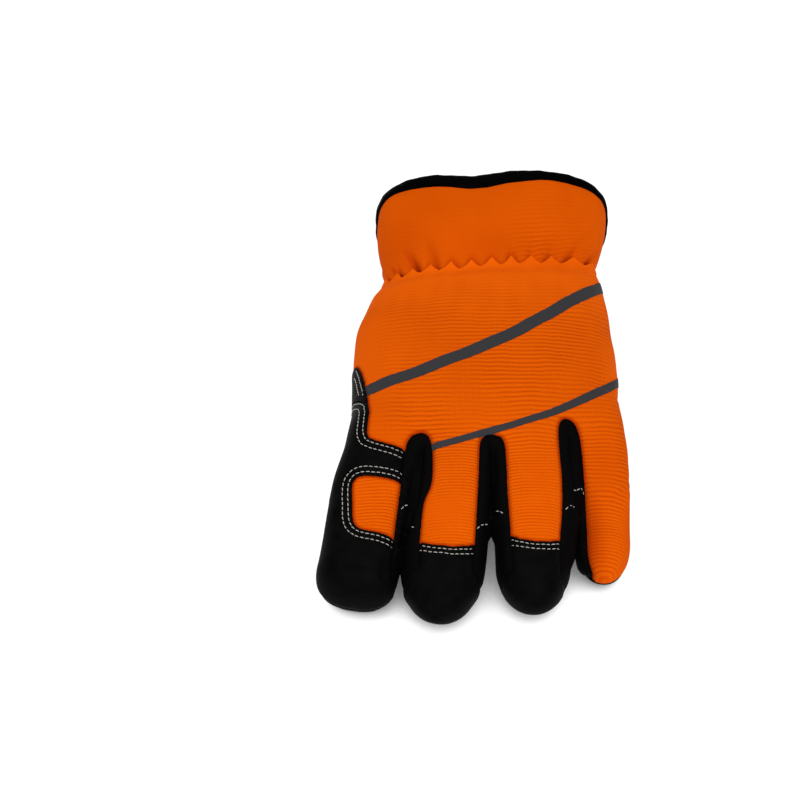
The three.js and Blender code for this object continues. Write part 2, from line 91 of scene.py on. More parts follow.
form = {
    "rimY": 113.0,
    "gatherY": 66.0,
    "knuckleEndY": -54.0,
    "sweepFromY": 30.0,       # the elastic pulls the sections towards the rim
    "sweepSkew": 0.1,
    "sweepLag": 10.0,
    "sweepLowest": -0.15,
    "sagSpread": 0.3,
    "dentX": -5.0,            # dip in the top of the rim
    "dentHalfWidth": 13.0,
    "dentDepth": 2.6,
    "dentFromY": 88.0,
    "dentGrowth": 1.5,
    "rimLean": 1.0,           # the little-finger side of the rim stands higher
    "shortFingerDrop": 12.0,
    "squareness": 2.4,        # finger sections are a little squarer than an oval
    "fingerBlend": 1.6,       # how softly two fingers meet
    "handBlend": 6.0,         # how softly fingers leave the hand
    "floorBlend": 2.0,
    "sweepPasses": 7,
}
net = {
    "cell": 0.85,             # spacing of the surface's points
    "coarse": 3,              # cells to one of the first, rough look
    "near": 1.65,             # rough cells within which the surface may lie
    "leastSlope": 0.2,
    "furthest": 1.5,          # longest step back to the surface
}
seamReach = 14.0              # seams are felt no further than this
floorClearance = 0.02


def throughRows(rows, key, at):
    # every column on a smooth curve through the rows
    keys = rows[key]
    last = len(keys) - 1
    place = np.clip(at, keys[0], keys[-1])
    i = np.clip(np.searchsorted(keys, place, side="right") - 1, 0, last - 1)
    span = keys[i + 1] - keys[i]
    t = (place - keys[i]) / span
    before = np.maximum(np.arange(last + 1) - 1, 0)
    after = np.minimum(np.arange(last + 1) + 1, last)
    found = {}
    for name, column in rows.items():
        if name == key:
            continue
        slope = (column[after] - column[before]) / (keys[after] - keys[before])
        rise = column[i + 1] - column[i]
        lead = slope[i] * span
        trail = slope[i + 1] * span
        found[name] = (column[i] + lead * t + (3 * rise - 2 * lead - trail) * t**2
                       + (lead + trail - 2 * rise) * t**3)
    return found


def curveOf(rows, key, stations=600):
    at = np.linspace(rows[key][0], rows[key][-1], stations)
    found = throughRows(rows, key, at)
    values = np.stack(list(found.values()), 1)
    return {"start": at[0], "step": at[1] - at[0], "names": list(found), "values": values}


def readCurve(curve, at):
    values = curve["values"]
    place = np.clip((at - curve["start"]) / curve["step"], 0, len(values) - 1.001)
    i = place.astype(int)
    t = (place - i)[:, None]
    mixed = values[i] * (1 - t) + values[i + 1] * t
    return dict(zip(curve["names"], mixed.T))


handCurve = curveOf(handRows, "y")


def stallCurve(rows, dome=13.0, point=2.0):
    # centre line of a finger or the thumb with its way on the plan, and its rounded end's length and power
    curve = curveOf(rows, "share")
    x, y = (curve["values"][:, curve["names"].index(name)] for name in ("x", "y"))
    run = np.stack([np.gradient(x), np.gradient(y)], 1)
    run /= np.linalg.norm(run, axis=1)[:, None]
    curve["names"] += ["runX", "runY"]
    curve["values"] = np.concatenate([curve["values"], run], 1)
    curve["root"] = np.array([x[0], y[0]])
    chord = np.array([x[-1], y[-1]]) - curve["root"]
    curve["length"] = np.linalg.norm(chord)
    curve["chord"] = chord / curve["length"]
    curve["dome"] = dome
    curve["point"] = point
    return curve


def fingerRows(plan):
    share = fingerProfile["share"]
    widths = table("share half", list(zip((0, 0.45, 0.85, 1), (*plan["halves"], plan["halves"][-1]))))
    (rootX, rootY), (tipX, tipY) = plan["root"], plan["tip"]
    return {
        "share": share,
        "x": rootX + (tipX - rootX) * share + plan["bow"] * 4 * share * (1 - share),
        "y": rootY + (tipY - rootY) * share,
        "z": fingerProfile["z"] - (1 - plan["height"]) * form["shortFingerDrop"] * share,
        "halfWidth": throughRows(widths, "share", share)["half"],
        "halfHeight": fingerProfile["halfHeight"] * plan["height"],
    }


fingerCurves = {
    name: stallCurve(fingerRows(plan), plan["dome"], plan["point"]) for name, plan in fingerPlan.items()
}
thumbCurve = stallCurve(thumbRows)


def ovalGauge(across, rise, width, height, power):
    # 1 on a squarish oval's outline, its growth per millimetre, and the sine of the outline's own angle
    a = np.abs(across / width)
    b = np.abs(rise / height)
    total = np.maximum(a**power + b**power, 1e-9)
    gauge = total ** (1 / power)
    slope = np.hypot((a / gauge) ** (power - 1) / width, (b / gauge) ** (power - 1) / height)
    return gauge, slope, np.sign(rise) * np.sqrt(b**power / total)


def sweepShare(level):
    toHand = (level - form["sweepFromY"]) / (form["gatherY"] - form["sweepFromY"])
    toRim = (form["rimY"] - level) / (form["rimY"] - form["gatherY"])
    return np.clip(np.minimum(toHand, toRim), 0, 1)


def handField(points):
    # distance from the hand's and cuff's outside, the section each point belongs to and its place round it
    x, y, z = points.T
    level = y
    for _ in range(form["sweepPasses"]):
        row = readCurve(handCurve, level)
        above = z > row["side"]
        dentShare = np.clip((level - form["dentFromY"]) / (form["rimY"] - form["dentFromY"]), 0, 1)
        fromDent = (x - form["dentX"]) / form["dentHalfWidth"]
        dent = form["dentDepth"] * dentShare ** form["dentGrowth"] * np.exp(-(fromDent**2))
        width = (row["right"] - row["left"]) / 2
        across = x - (row["right"] + row["left"]) / 2
        sag = row["sag"] * np.clip(np.clip(across / width, -1, 1) + form["sagSpread"], 0, 1)
        rise = z - row["side"] + dent * above
        lean = form["rimLean"] * dentShare ** form["dentGrowth"] * np.clip(across / width, -1, 1)
        height = np.where(above, row["top"] - row["side"] + lean, row["side"] - row["bottom"] + sag)
        gauge, slope, sine = ovalGauge(across, rise, width, height, row["power"])
        pull = form["sweepSkew"] * x + form["sweepLag"] * (1 - np.maximum(sine, form["sweepLowest"]))
        level = y - sweepShare(level) * pull
    angle = np.arctan2(sine, np.sign(across) * np.sqrt(np.maximum(1 - sine**2, 0)))
    return (gauge - 1) / slope, level, angle, row["floor"]


def stallField(points, curve):
    # distance from the outside of a finger or the thumb, and the share of its length
    x, y, z = points.T
    chord, root, length = curve["chord"], curve["root"], curve["length"]
    share = ((x - root[0]) * chord[0] + (y - root[1]) * chord[1]) / length
    for _ in range(3):
        row = readCurve(curve, share)
        share = np.clip(share, 0, 1) + ((x - row["x"]) * row["runX"] + (y - row["y"]) * row["runY"]) / length
    row = readCurve(curve, share)
    across = (y - row["y"]) * row["runX"] - (x - row["x"]) * row["runY"]
    dome, point = curve["dome"], curve["point"]
    gauge, slope, _ = ovalGauge(across, z - row["z"], row["halfWidth"], row["halfHeight"], form["squareness"])
    over = np.maximum(share * length - (length - dome), 0) / dome
    whole = np.maximum((gauge**point + over**point) ** (1 / point), 1e-6)
    slope = np.hypot((gauge / whole) ** (point - 1) * slope, (over / whole) ** (point - 1) / dome)
    return np.maximum((whole - 1) / slope, -share * length), share


def softLower(a, b, blend):
    near = np.maximum(blend - np.abs(a - b), 0) / blend
    return np.minimum(a, b) - near**2 * blend / 4


def fingersField(points):
    distance = None
    for curve in fingerCurves.values():
        one, _ = stallField(points, curve)
        distance = one if distance is None else softLower(distance, one, form["fingerBlend"])
    return distance


def bodyField(points):
    hand, level, _, floor = handField(points)
    hand = np.maximum(hand, form["knuckleEndY"] - points[:, 1])
    body = softLower(hand, fingersField(points), form["handBlend"])
    return -softLower(-body, points[:, 2] - floor, form["floorBlend"])


def thumbField(points):
    distance, _ = stallField(points, thumbCurve)
    return -softLower(-distance, points[:, 2], form["floorBlend"])


def slopeOf(field, points, reach=0.3):
    # value and gradient of a field from four samples round each point
    corners = np.array([(1, 1, 1), (1, -1, -1), (-1, 1, -1), (-1, -1, 1)], float)
    samples = [field(points + corner * reach) for corner in corners]
    gradient = sum(sample[:, None] * corner for sample, corner in zip(samples, corners)) / (4 * reach)
    return sum(samples) / 4, gradient


def normalized(vectors):
    return vectors / np.maximum(np.linalg.norm(vectors, axis=1), 1e-9)[:, None]


def surfaceNet(field, low, high, cell):
    # four-sided faces through the zero level of a field, one point in each grid cell that it crosses
    low = np.array(low, float)
    counts = np.ceil((np.array(high) - low) / cell).astype(int) + 1
    coarse = net["coarse"]
    coarseCounts = counts // coarse + 2
    place = np.stack(np.meshgrid(*[np.arange(n) for n in coarseCounts], indexing="ij"), -1).reshape(-1, 3)
    rough = field(low + place * cell * coarse).reshape(coarseCounts)
    nearest = [(np.arange(n) + 1) // coarse for n in counts]
    values = rough[np.ix_(*nearest)]
    close = np.argwhere(np.abs(values) < net["near"] * coarse * cell)
    values[tuple(close.T)] = field(low + close * cell)
    inside = values < 0
    corners = np.array([(i, j, k) for i in (0, 1) for j in (0, 1) for k in (0, 1)])
    full = sum(inside[i:counts[0] - 1 + i, j:counts[1] - 1 + j, k:counts[2] - 1 + k].astype(np.int8)
               for i, j, k in corners)
    crossed = (full > 0) & (full < 8)
    base = np.argwhere(crossed)
    number = np.full(crossed.shape, -1)
    number[crossed] = np.arange(len(base))
    total = np.zeros((len(base), 3))
    hits = np.zeros(len(base))
    for first in corners:
        for axis in range(3):
            if first[axis]:
                continue
            second = first.copy()
            second[axis] = 1
            start = values[tuple((base + first).T)]
            end = values[tuple((base + second).T)]
            cuts = (start < 0) != (end < 0)
            share = np.where(cuts, start / np.where(cuts, start - end, 1), 0)
            total += np.where(cuts[:, None], first + (second - first) * share[:, None], 0)
            hits += cuts
    points = low + cell * (base + total / hits[:, None])
    faces = []
    for axis in range(3):
        step = np.eye(3, dtype=int)[axis]
        sideB, sideC = np.eye(3, dtype=int)[(axis + 1) % 3], np.eye(3, dtype=int)[(axis + 2) % 3]
        ends = inside[tuple(slice(s, None) for s in step)]
        starts = inside[tuple(slice(0, n - s) for n, s in zip(inside.shape, step))]
        spots = np.argwhere(starts != ends)
        for other in ((axis + 1) % 3, (axis + 2) % 3):
            spots = spots[(spots[:, other] > 0) & (spots[:, other] < inside.shape[other] - 1)]
        ring = [spots - sideB - sideC, spots - sideC, spots, spots - sideB]
        face = np.stack([number[tuple(cellAt.T)] for cellAt in ring], 1)
        outwards = starts[tuple(spots.T)]
        faces.append(np.where(outwards[:, None], face, face[:, ::-1]))
    return points, np.concatenate(faces)


def relaxed(field, points, faces, rounds=4, ease=0.6):
    # evens the points out along the surface and puts them back on it
    sides = np.concatenate([faces[:, [k, (k + 1) % 4]] for k in range(4)])
    links = np.unique(np.sort(sides, axis=1), axis=0)
    count = np.bincount(links.ravel(), minlength=len(points))[:, None]
    for _ in range(rounds):
        total = np.stack([
            np.bincount(links[:, 0], points[links[:, 1], k], len(points))
            + np.bincount(links[:, 1], points[links[:, 0], k], len(points)) for k in range(3)
        ], 1)
        value, gradient = slopeOf(field, points)
        normal = normalized(gradient)
        move = (total / count - points) * ease
        move -= normal * np.sum(move * normal, 1)[:, None]
        back = value / np.maximum(np.linalg.norm(gradient, axis=1), net["leastSlope"])
        points = points + move - normal * np.clip(back, -net["furthest"], net["furthest"])[:, None]
    value, gradient = slopeOf(field, points)
    back = value / np.maximum(np.linalg.norm(gradient, axis=1), net["leastSlope"])
    return points - normalized(gradient) * back[:, None]


def triangled(points, faces):
    first = np.linalg.norm(points[faces[:, 0]] - points[faces[:, 2]], axis=1)
    second = np.linalg.norm(points[faces[:, 1]] - points[faces[:, 3]], axis=1)
    short = (first <= second)[:, None]
    a = np.where(short, faces[:, [0, 1, 2]], faces[:, [0, 1, 3]])
    b = np.where(short, faces[:, [0, 2, 3]], faces[:, [1, 2, 3]])
    return np.concatenate([a, b])


def newSheet(points):
    # points shared by all the pieces cut from one surface, with a bit for each seam line that a point lies on
    return {"points": points, "lines": np.zeros(len(points), np.int64)}


def cutSheet(sheet, faces, measure, bit, snap=0.12):
    # splits triangles where measure changes sign; returns those below and those above zero
    used = np.unique(faces)
    values = np.zeros(len(sheet["points"]))
    values[used] = measure(sheet["points"][used])
    touching = used[np.abs(values[used]) < snap]
    values[touching] = 0
    sheet["lines"][touching] |= bit
    sign = np.sign(values)
    signs = sign[faces]
    mixed = (signs.max(1) > 0) & (signs.min(1) < 0)
    whole, split, signs = faces[~mixed], faces[mixed], signs[mixed]
    atZero = (signs == 0).any(1)
    alone = signs * -np.sign(signs.sum(1))[:, None] > 0
    first = np.where(atZero, np.argmax(signs == 0, 1), np.argmax(alone, 1))
    split = np.take_along_axis(split, (first[:, None] + np.arange(3)) % 3, 1)
    a, b = split[atZero], split[~atZero]
    edges = np.sort(np.concatenate([a[:, [1, 2]], b[:, [0, 1]], b[:, [0, 2]]]), 1)
    edges, place = np.unique(edges, axis=0, return_inverse=True)
    start, end = values[edges[:, 0]], values[edges[:, 1]]
    share = (start / (start - end))[:, None]
    fresh = sheet["points"][edges[:, 0]] * (1 - share) + sheet["points"][edges[:, 1]] * share
    place = place.ravel() + len(sheet["points"])
    freshLines = (sheet["lines"][edges[:, 0]] & sheet["lines"][edges[:, 1]]) | bit
    sheet["lines"] = np.concatenate([sheet["lines"], freshLines])
    sheet["points"] = np.concatenate([sheet["points"], fresh])
    sign = np.concatenate([sign, np.zeros(len(fresh))])
    onA, onB, onC = np.split(place, [len(a), len(a) + len(b)])
    corners = [(a[:, 0], a[:, 1], onA), (a[:, 0], onA, a[:, 2]), (b[:, 0], onB, onC),
               (onB, b[:, 1], b[:, 2]), (onB, b[:, 2], onC)]
    faces = np.concatenate([whole, *[np.stack(corner, 1) for corner in corners]])
    below = sign[faces].sum(1) < 0
    return faces[below], faces[~below]


def borderEdges(faces):
    edges = np.concatenate([faces[:, [0, 1]], faces[:, [1, 2]], faces[:, [2, 0]]])
    _, place, count = np.unique(np.sort(edges, 1), axis=0, return_inverse=True, return_counts=True)
    return edges[count[place.ravel()] == 1]


def segmentDistance(points, path, closed):
    # plan distance from a path, and the side of a closed one: below zero inside
    starts = np.array(path, float)
    ends = np.roll(starts, -1, axis=0) if closed else starts[1:]
    starts = starts if closed else starts[:-1]
    best = np.full(len(points), 1e9)
    share = np.zeros(len(points))
    inside = np.zeros(len(points), bool)
    for k, (start, end) in enumerate(zip(starts, ends)):
        run = end - start
        offset = points[:, :2] - start
        t = np.clip(offset @ run / max(run @ run, 1e-9), 0, 1)
        distance = np.linalg.norm(offset - t[:, None] * run, axis=1)
        share = np.where(distance < best, k + t, share)
        best = np.minimum(best, distance)
        crosses = (start[1] > points[:, 1]) != (end[1] > points[:, 1])
        if run[1]:
            inside ^= crosses & (points[:, 0] < start[0] + run[0] * (points[:, 1] - start[1]) / run[1])
    return np.where(inside & closed, -best, best), share


def curved(path, closed=False, steps=6):
    # a smooth line through the points of a path
    path = np.array(path, float)
    count = len(path)
    out = []
    for k in range(count if closed else count - 1):
        pick = [(k + j) % count if closed else min(max(k + j, 0), count - 1) for j in (-1, 0, 1, 2)]
        a, b, c, d = path[pick]
        for t in np.arange(steps) / steps:
            out.append(0.5 * (2 * b + (c - a) * t + (2 * a - 5 * b + 4 * c - d) * t**2
                              + (3 * b - a - 3 * c + d) * t**3))
    if not closed:
        out.append(path[-1])
    return np.array(out)


def roundedCorners(corners, radius, steps=5):
    corners = np.array(corners, float)
    out = []
    for k, corner in enumerate(corners):
        before = corners[k - 1] - corner
        after = corners[(k + 1) % len(corners)] - corner
        start = corner + before / np.linalg.norm(before) * radius
        end = corner + after / np.linalg.norm(after) * radius
        for t in np.linspace(0, 1, steps):
            out.append((1 - t) ** 2 * start + 2 * t * (1 - t) * corner + t**2 * end)
    return np.array(out)


# Where the seams run, on the plan.
seams = {
    "slots": [
        dict(name="fourchette_index_middle",
             left=[(-32.9, -46.5), (-33.6, -54.7), (-34.6, -61), (-36.6, -77.8), (-38, -92)],
             head=[(-32.2, -42.6), (-30.7, -39.6), (-28.9, -38.1), (-26.9, -37.5), (-25.3, -38.3),
                   (-24, -40.2), (-23.1, -43.3)],
             right=[(-22.7, -47.2), (-22.8, -55), (-23.6, -61), (-26.2, -66), (-27.4, -75), (-28.6, -92)],
             crease=[(-25.7, -41), (-26.9, -46.5), (-28.1, -56.2), (-28.9, -65), (-30.3, -68), (-33, -75),
                     (-34, -78)]),
        dict(name="fourchette_middle_ring",
             left=[(-4.2, -46), (-4.6, -58), (-5.3, -72), (-5.9, -80), (-6.4, -92)],
             head=[(-3.6, -42.2), (-1.4, -39.6), (1, -38.9), (3.6, -39.9), (5, -42.6)],
             right=[(5.5, -47), (5.7, -57), (6.2, -67), (6.7, -76), (7.2, -92)],
             crease=[(0.5, -42), (0.7, -47), (0.9, -53), (0.5, -59), (0.1, -66), (-0.3, -69)]),
        dict(name="fourchette_ring_little",
             left=[(26.5, -38), (26.7, -47), (27.5, -57), (27.6, -68), (26.6, -79), (26, -92)],
             head=[(27, -34), (28.2, -31.6), (30.2, -30.5), (32.6, -31.6), (34, -34.6)],
             right=[(35, -40), (35.7, -48), (36.1, -58), (36.2, -69), (36.2, -77), (37.4, -82), (42, -88),
                    (46, -93)],
             crease=[(30.6, -35), (31.3, -41), (31.6, -53), (32.1, -60), (32, -65)]),
    ],
    "window": [(-53.6, -55.6), (-30, -59), (-31, -79.2), (-53, -75.9)],
    "windowRadius": 5.0,
    "web": [(-53.4, 11.4), (-52.6, 10.4), (-51.8, 7.8), (-50.3, 1.7), (-49.3, -3.5), (-48.3, -11),
            (-47.5, -21.3), (-54, -10), (-75, -4), (-75, 14), (-56, 12)],
    "guard": [(-47.5, -21), (-47, -27), (-47.5, -33.1), (-47.8, -38.3), (-47, -40.8), (-44.2, -42.4),
              (-40.8, -43.6), (-29, -46.6), (-30, -84), (-34.9, -89), (-36, -118), (-80, -118), (-75, -4),
              (-54, -10)],
    "middleTip": [(-36, -80), (-28, -81.8), (-23, -83.9), (-15, -84.9), (-9, -84), (-4, -81.5), (0, -80),
                  (0, -118), (-36, -118)],
    "ringTip": [(0, -76), (6, -77.8), (10.6, -80.6), (16.2, -81.9), (22, -81.6), (27, -79.6), (34, -77),
                (34, -118), (0, -118)],
    "palm": table("y z", [(-120, 4.4), (-106, 5), (-94, 6.8), (-83, 10.6), (-71, 17), (-60, 22.5), (-52, 25.5),
                          (-30, 25), (20, 23), (90, 22)]),
    "palmLittle": table("y z", [(-120, 5.4), (-84, 5.2), (-74, 6.2), (-66, 9), (-57, 15.5), (-49, 25),
                                (-34, 25.5), (-16, 21), (90, 20)]),
    "littleSideX": 33.0,
    "littleBlend": 1.5,
}
lineBit = {name: 1 << i for i, name in enumerate(
    ["rim", "gather", "palm", "slots", "middleTip", "ringTip", "window", "web", "guard", "stripe", "thumb"])}


def palmMeasure(points):
    # below zero on the palm's side
    level = np.interp(points[:, 1], seams["palm"]["y"], seams["palm"]["z"])
    little = np.interp(points[:, 1], seams["palmLittle"]["y"], seams["palmLittle"]["z"])
    blend = seams["littleBlend"]
    share = np.clip((points[:, 0] - seams["littleSideX"] + blend) / (2 * blend), 0, 1)
    return points[:, 2] - (level + (little - level) * share * share * (3 - 2 * share))


def outlineMeasure(path):
    return lambda points: segmentDistance(points, path, True)[0]


# Folds across the back, from the index side: place, how its crease slants, how far and how deep it runs.
foldRows = table("x start slant reach depth", [
    (-33.3, 0, -1.05, 7, 2.6), (-26.3, -0.4, -0.5, 12, 2.9), (-18.5, -0.8, -0.28, 13, 1.7),
    (-9.8, -1, -0.4, 5, 1.1), (-1.5, -1, -0.4, 5, 0.8), (6.8, -1.2, -0.3, 5, 0.8), (14.6, -1.4, -0.25, 7, 1.7),
    (23.4, 1.2, 0.3, 6, 1.1), (31.8, 1.4, 0.45, 8, 1.8), (41.6, 0.4, 0.6, 8, 2.2), (47.3, 0, 0.3, 6, 1.4),
])
gathers = {
    "around": 225.0,       # length of the elastic line
    "flatness": 2.1,       # the glove's width against its height there
    "underFolds": 14,      # folds below, evenly spaced
    "underReach": 7.0,
    "underDepth": 1.0,
    "zigzag": 2.35,        # forward and back along the line
    "pointed": 0.6,
    "uneven": 0.16,
    "handLift": 0.5,       # the hand's edge lies over the cuff's
    "handReach": 3.2,
    "ridge": 0.6,
    "ridgeReach": 6.0,
    "ridgeStart": 1.2,
    "tuck": 0.9,
    "tuckReach": 2.4,
    "lobe": 0.85,
    "lobeReach": 4.2,
    "creaseWidth": 1.5,
    "creaseWidening": 0.06,
    "creaseFade": 1.5,
    "shoulder": 0.35,      # how far the cloth beside a crease stands out
    "shoulderAt": 2.4,     # crease widths from its middle
    "lightReach": 26.0,    # painted light: the stretched cloth below the line is drawn as if catching the light
    "handLight": 0.95,
    "teethShade": 0.3,
    "lineShade": 0.75,     # painted shade under the hand's edge, and how far up the cuff it runs
    "lineReach": 1.5,
    "lineEven": 0.7,
    "lineWaved": 0.3,
    "creaseShade": 0.4,
    "handSmooth": 0.6,     # the ribs fade next to the line
    "smoothReach": 5.0,
}
# The line lies a little nearer the rim on the middle and the little-finger side of the back.
lineRise = table("x rise", [(-45, 0), (-28, 0.3), (-8, 1.1), (14, 1.9), (36, 1.8), (48, 0.8)])
gatherRow = readCurve(handCurve, np.array([form["gatherY"]]))


def flatTurn(angle):
    # share of the way round a flat oval, evened out along its outline
    fine = np.linspace(-math.pi, math.pi, 1441)
    steps = np.hypot(gathers["flatness"] * np.sin(fine[1:]), np.cos(fine[1:]))
    lengths = np.concatenate([[0], np.cumsum(steps)])
    return np.interp(angle, fine, lengths / lengths[-1])


def foldPlaces():
    # every fold's place along the elastic line in mm, with its crease's start, slant, reach and depth
    width = (gatherRow["right"][0] - gatherRow["left"][0]) / 2
    across = (foldRows["x"] - (gatherRow["right"][0] + gatherRow["left"][0]) / 2) / width
    cosine = np.sign(across) * np.abs(np.clip(across, -0.999, 0.999)) ** (gatherRow["power"][0] / 2)
    top = flatTurn(np.arccos(cosine)) * gathers["around"]
    under = gathers["underFolds"]
    low, high = top.max() - gathers["around"], top.min()
    below = low + (high - low) * np.arange(1, under + 1) / (under + 1)
    places = np.concatenate([top, below % gathers["around"]])
    plain = np.ones(under)
    rest = [plain * 0, plain * 0, plain * gathers["underReach"], plain * gathers["underDepth"]]
    columns = ("start", "slant", "reach", "depth")
    found = [places] + [np.concatenate([foldRows[name], fill]) for name, fill in zip(columns, rest)]
    order = np.argsort(places)
    return [column[order] for column in found]


foldPlace, foldStart, foldSlant, foldReach, foldDepth = foldPlaces()
foldUneven = np.random.default_rng(7).uniform(-1, 1, len(foldPlace)) * gathers["uneven"]


def gatherWave(angle):
    # 1 on a tooth that points to the rim, -1 at the lobes between: pointed teeth, rounder lobes
    along = flatTurn(angle) * gathers["around"]
    count = len(foldPlace)
    wrapped = np.concatenate([foldPlace[-1:] - gathers["around"], foldPlace,
                              foldPlace[:1] + gathers["around"]])
    turn = np.interp(along, wrapped, np.arange(-1, count + 1))
    k = np.floor(turn).astype(int) % count
    height = 1 + foldUneven[k]
    soft = 1 - 2 * np.abs(np.cos(math.pi * turn))
    pointed = 4 * np.abs(turn - np.round(turn)) - 1
    return (soft + (pointed - soft) * gathers["pointed"]) * height, along


def fromElastic(points):
    # distance towards the rim from the gathered line, the wave, the place round the glove and the section
    _, level, angle, _ = handField(points)
    wave, along = gatherWave(angle)
    rise = np.interp(points[:, 0], lineRise["x"], lineRise["rise"]) * np.clip(2 * np.sin(angle), 0, 1)
    return level - form["gatherY"] - rise - gathers["zigzag"] * wave, wave, along, level


def gatherMeasure(points):
    return fromElastic(points)[0]


print("building the glove's surface")
netPoints, netFaces = surfaceNet(bodyField, (-72, -122, -1.7), (64, 119, 58), net["cell"])
netPoints = relaxed(bodyField, netPoints, netFaces)
outside = newSheet(netPoints)
faces = triangled(netPoints, netFaces)
print("  points", len(netPoints), "triangles", len(faces))

print("cutting the pieces")
thumb = {"seamLevel": 8.0, "clearance": 0.3, "openingInset": 2, "thickness": 1.4}
cutFaces = {}
faces, _ = cutSheet(outside, faces, lambda p: p[:, 1] - form["rimY"], lineBit["rim"])
faces, cutFaces["cuff"] = cutSheet(outside, faces, gatherMeasure, lineBit["gather"])
cutFaces["palm"], faces = cutSheet(outside, faces, palmMeasure, lineBit["palm"])
_, cutFaces["palm"] = cutSheet(outside, cutFaces["palm"],
                               lambda p: stallField(p, thumbCurve)[0] + thumb["openingInset"], lineBit["thumb"])
for slot in seams["slots"]:
    head = curved([slot["left"][0], *slot["head"], slot["right"][0]])
    path = np.concatenate([curved(slot["left"][::-1]), head[1:-1], curved(slot["right"])])
    cutFaces[slot["name"]], faces = cutSheet(outside, faces, outlineMeasure(path), lineBit["slots"])
windowPath = roundedCorners(seams["window"], seams["windowRadius"])
cutOrder = [("middle_tip", "middleTip", seams["middleTip"]), ("ring_tip", "ringTip", seams["ringTip"]),
            ("index_knit_inset", "window", windowPath), ("thumb_web", "web", seams["web"]),
            ("index_guard", "guard", seams["guard"])]
for name, line, path in cutOrder:
    cutFaces[name], faces = cutSheet(outside, faces, outlineMeasure(path), lineBit[line])
cutFaces["back_panel"] = faces
for name, part in cutFaces.items():
    print("  ", name, len(part))

# The thumb lies folded under the palm and opens into it.
thumbPoints, thumbNet = surfaceNet(thumbField, (-56, -60, -1.7), (-2, 62, 34), net["cell"])
thumbPoints = relaxed(thumbField, thumbPoints, thumbNet, 3)
underside = newSheet(thumbPoints)
_, thumbFaces = cutSheet(underside, triangled(thumbPoints, thumbNet),
                         lambda p: bodyField(p) - thumb["clearance"], lineBit["thumb"])
thumbLower, thumbUpper = cutSheet(underside, thumbFaces,
                                  lambda p: p[:, 2] - thumb["seamLevel"], lineBit["palm"])


def smoothStep(values, low, high):
    t = np.clip((values - low) / (high - low), 0, 1)
    return t * t * (3 - 2 * t)


def borderDistance(points, sheetPoints, edges):
    # distance of each point from a seam's edges, up to a limit
    if not len(edges):
        return np.full(len(points), seamReach)
    starts, ends = sheetPoints[edges[:, 0]], sheetPoints[edges[:, 1]]
    samples = np.concatenate([starts + (ends - starts) * t for t in (0, 0.25, 0.5, 0.75)])
    tree = KDTree(len(samples))
    for k, sample in enumerate(samples):
        tree.insert(sample, k)
    tree.balance()
    return np.minimum([tree.find(point)[2] for point in points], seamReach)


creases = {                # the fold down the middle of each piece between the fingers
    "depth": 1.5,
    "width": 0.9,
    "puff": 0.5,           # how far each half stands out
    "puffAt": 2.6,
    "puffWidth": 1.8,
    "fadeFrom": -1.5,
    "fadeIn": 5.0,
}
snugGaps = {               # how far a piece between two fingers swells sideways, and from where to where
    "fourchette_middle_ring": (0.55, (50, 56), (70, 74)),
    "fourchette_ring_little": (1.5, (50, 56), (78, 84)),
}
tipDents = table("left right y depth", [(-64, -38, -96, 0.3), (-32, -8, -99, 0.3), (4, 27, -95, 0.3)])
tipDent = {"width": 1.8, "bulge": 0.15, "bulgeAt": 3.2, "bulgeWidth": 2.2, "bow": 1.4, "lowest": 3}


def creaseRelief(points, path):
    distance, _ = segmentDistance(points, curved(path), False)
    share = smoothStep(path[0][1] - points[:, 1], creases["fadeFrom"], creases["fadeIn"])
    groove = creases["depth"] * np.exp(-((distance / creases["width"]) ** 2))
    puff = creases["puff"] * np.exp(-(((distance - creases["puffAt"]) / creases["puffWidth"]) ** 2))
    return (puff - groove) * share


def tipRelief(points):
    # soft dents across the fingertips, with a fuller band above each
    total = np.zeros(len(points))
    for left, right, y, depth in zip(*tipDents.values()):
        across = (points[:, 0] - (left + right) / 2) / ((right - left) / 2)
        inside = np.exp(-(across**4)) * (points[:, 2] > tipDent["lowest"])
        at = points[:, 1] - y - tipDent["bow"] * across**2
        total -= depth * inside * np.exp(-((at / tipDent["width"]) ** 2))
        above = (at - tipDent["bulgeAt"]) / tipDent["bulgeWidth"]
        total += tipDent["bulge"] * inside * np.exp(-(above**2))
    return total


cloth = {                  # slow swells of soft cloth, the same for every piece so that seams stay closed
    "swells": 9,
    "shortest": 17.0,
    "longest": 46.0,
    "height": 0.3,
}
clothRandom = np.random.default_rng(11)
swellWays = normalized(clothRandom.normal(size=(cloth["swells"], 3)))
swellLengths = clothRandom.uniform(cloth["shortest"], cloth["longest"], cloth["swells"])
swellStarts = clothRandom.uniform(0, 2 * math.pi, cloth["swells"])


def clothSwell(points):
    phases = points @ (swellWays * (2 * math.pi / swellLengths)[:, None]).T + swellStarts
    return cloth["height"] * np.sin(phases).sum(1) / math.sqrt(cloth["swells"])


def gatherRelief(points, onCuffSide):
    # folds that run out from the elastic line: teeth and ridges on the hand, lobes and creases on the cuff
    away, wave, along, level = fromElastic(points)
    if not onCuffSide:
        away = np.maximum(-away, 0)
        lift = gathers["handLift"] * np.exp(-away / gathers["handReach"])
        rising = 1 - np.exp(-away / gathers["ridgeStart"])
        return lift + gathers["ridge"] * wave * np.exp(-away / gathers["ridgeReach"]) * rising
    away = np.maximum(away, 0)
    height = -gathers["tuck"] * np.exp(-away / gathers["tuckReach"])
    height -= gathers["lobe"] * wave * np.exp(-away / gathers["lobeReach"])
    return height - creaseDepths(level, along)


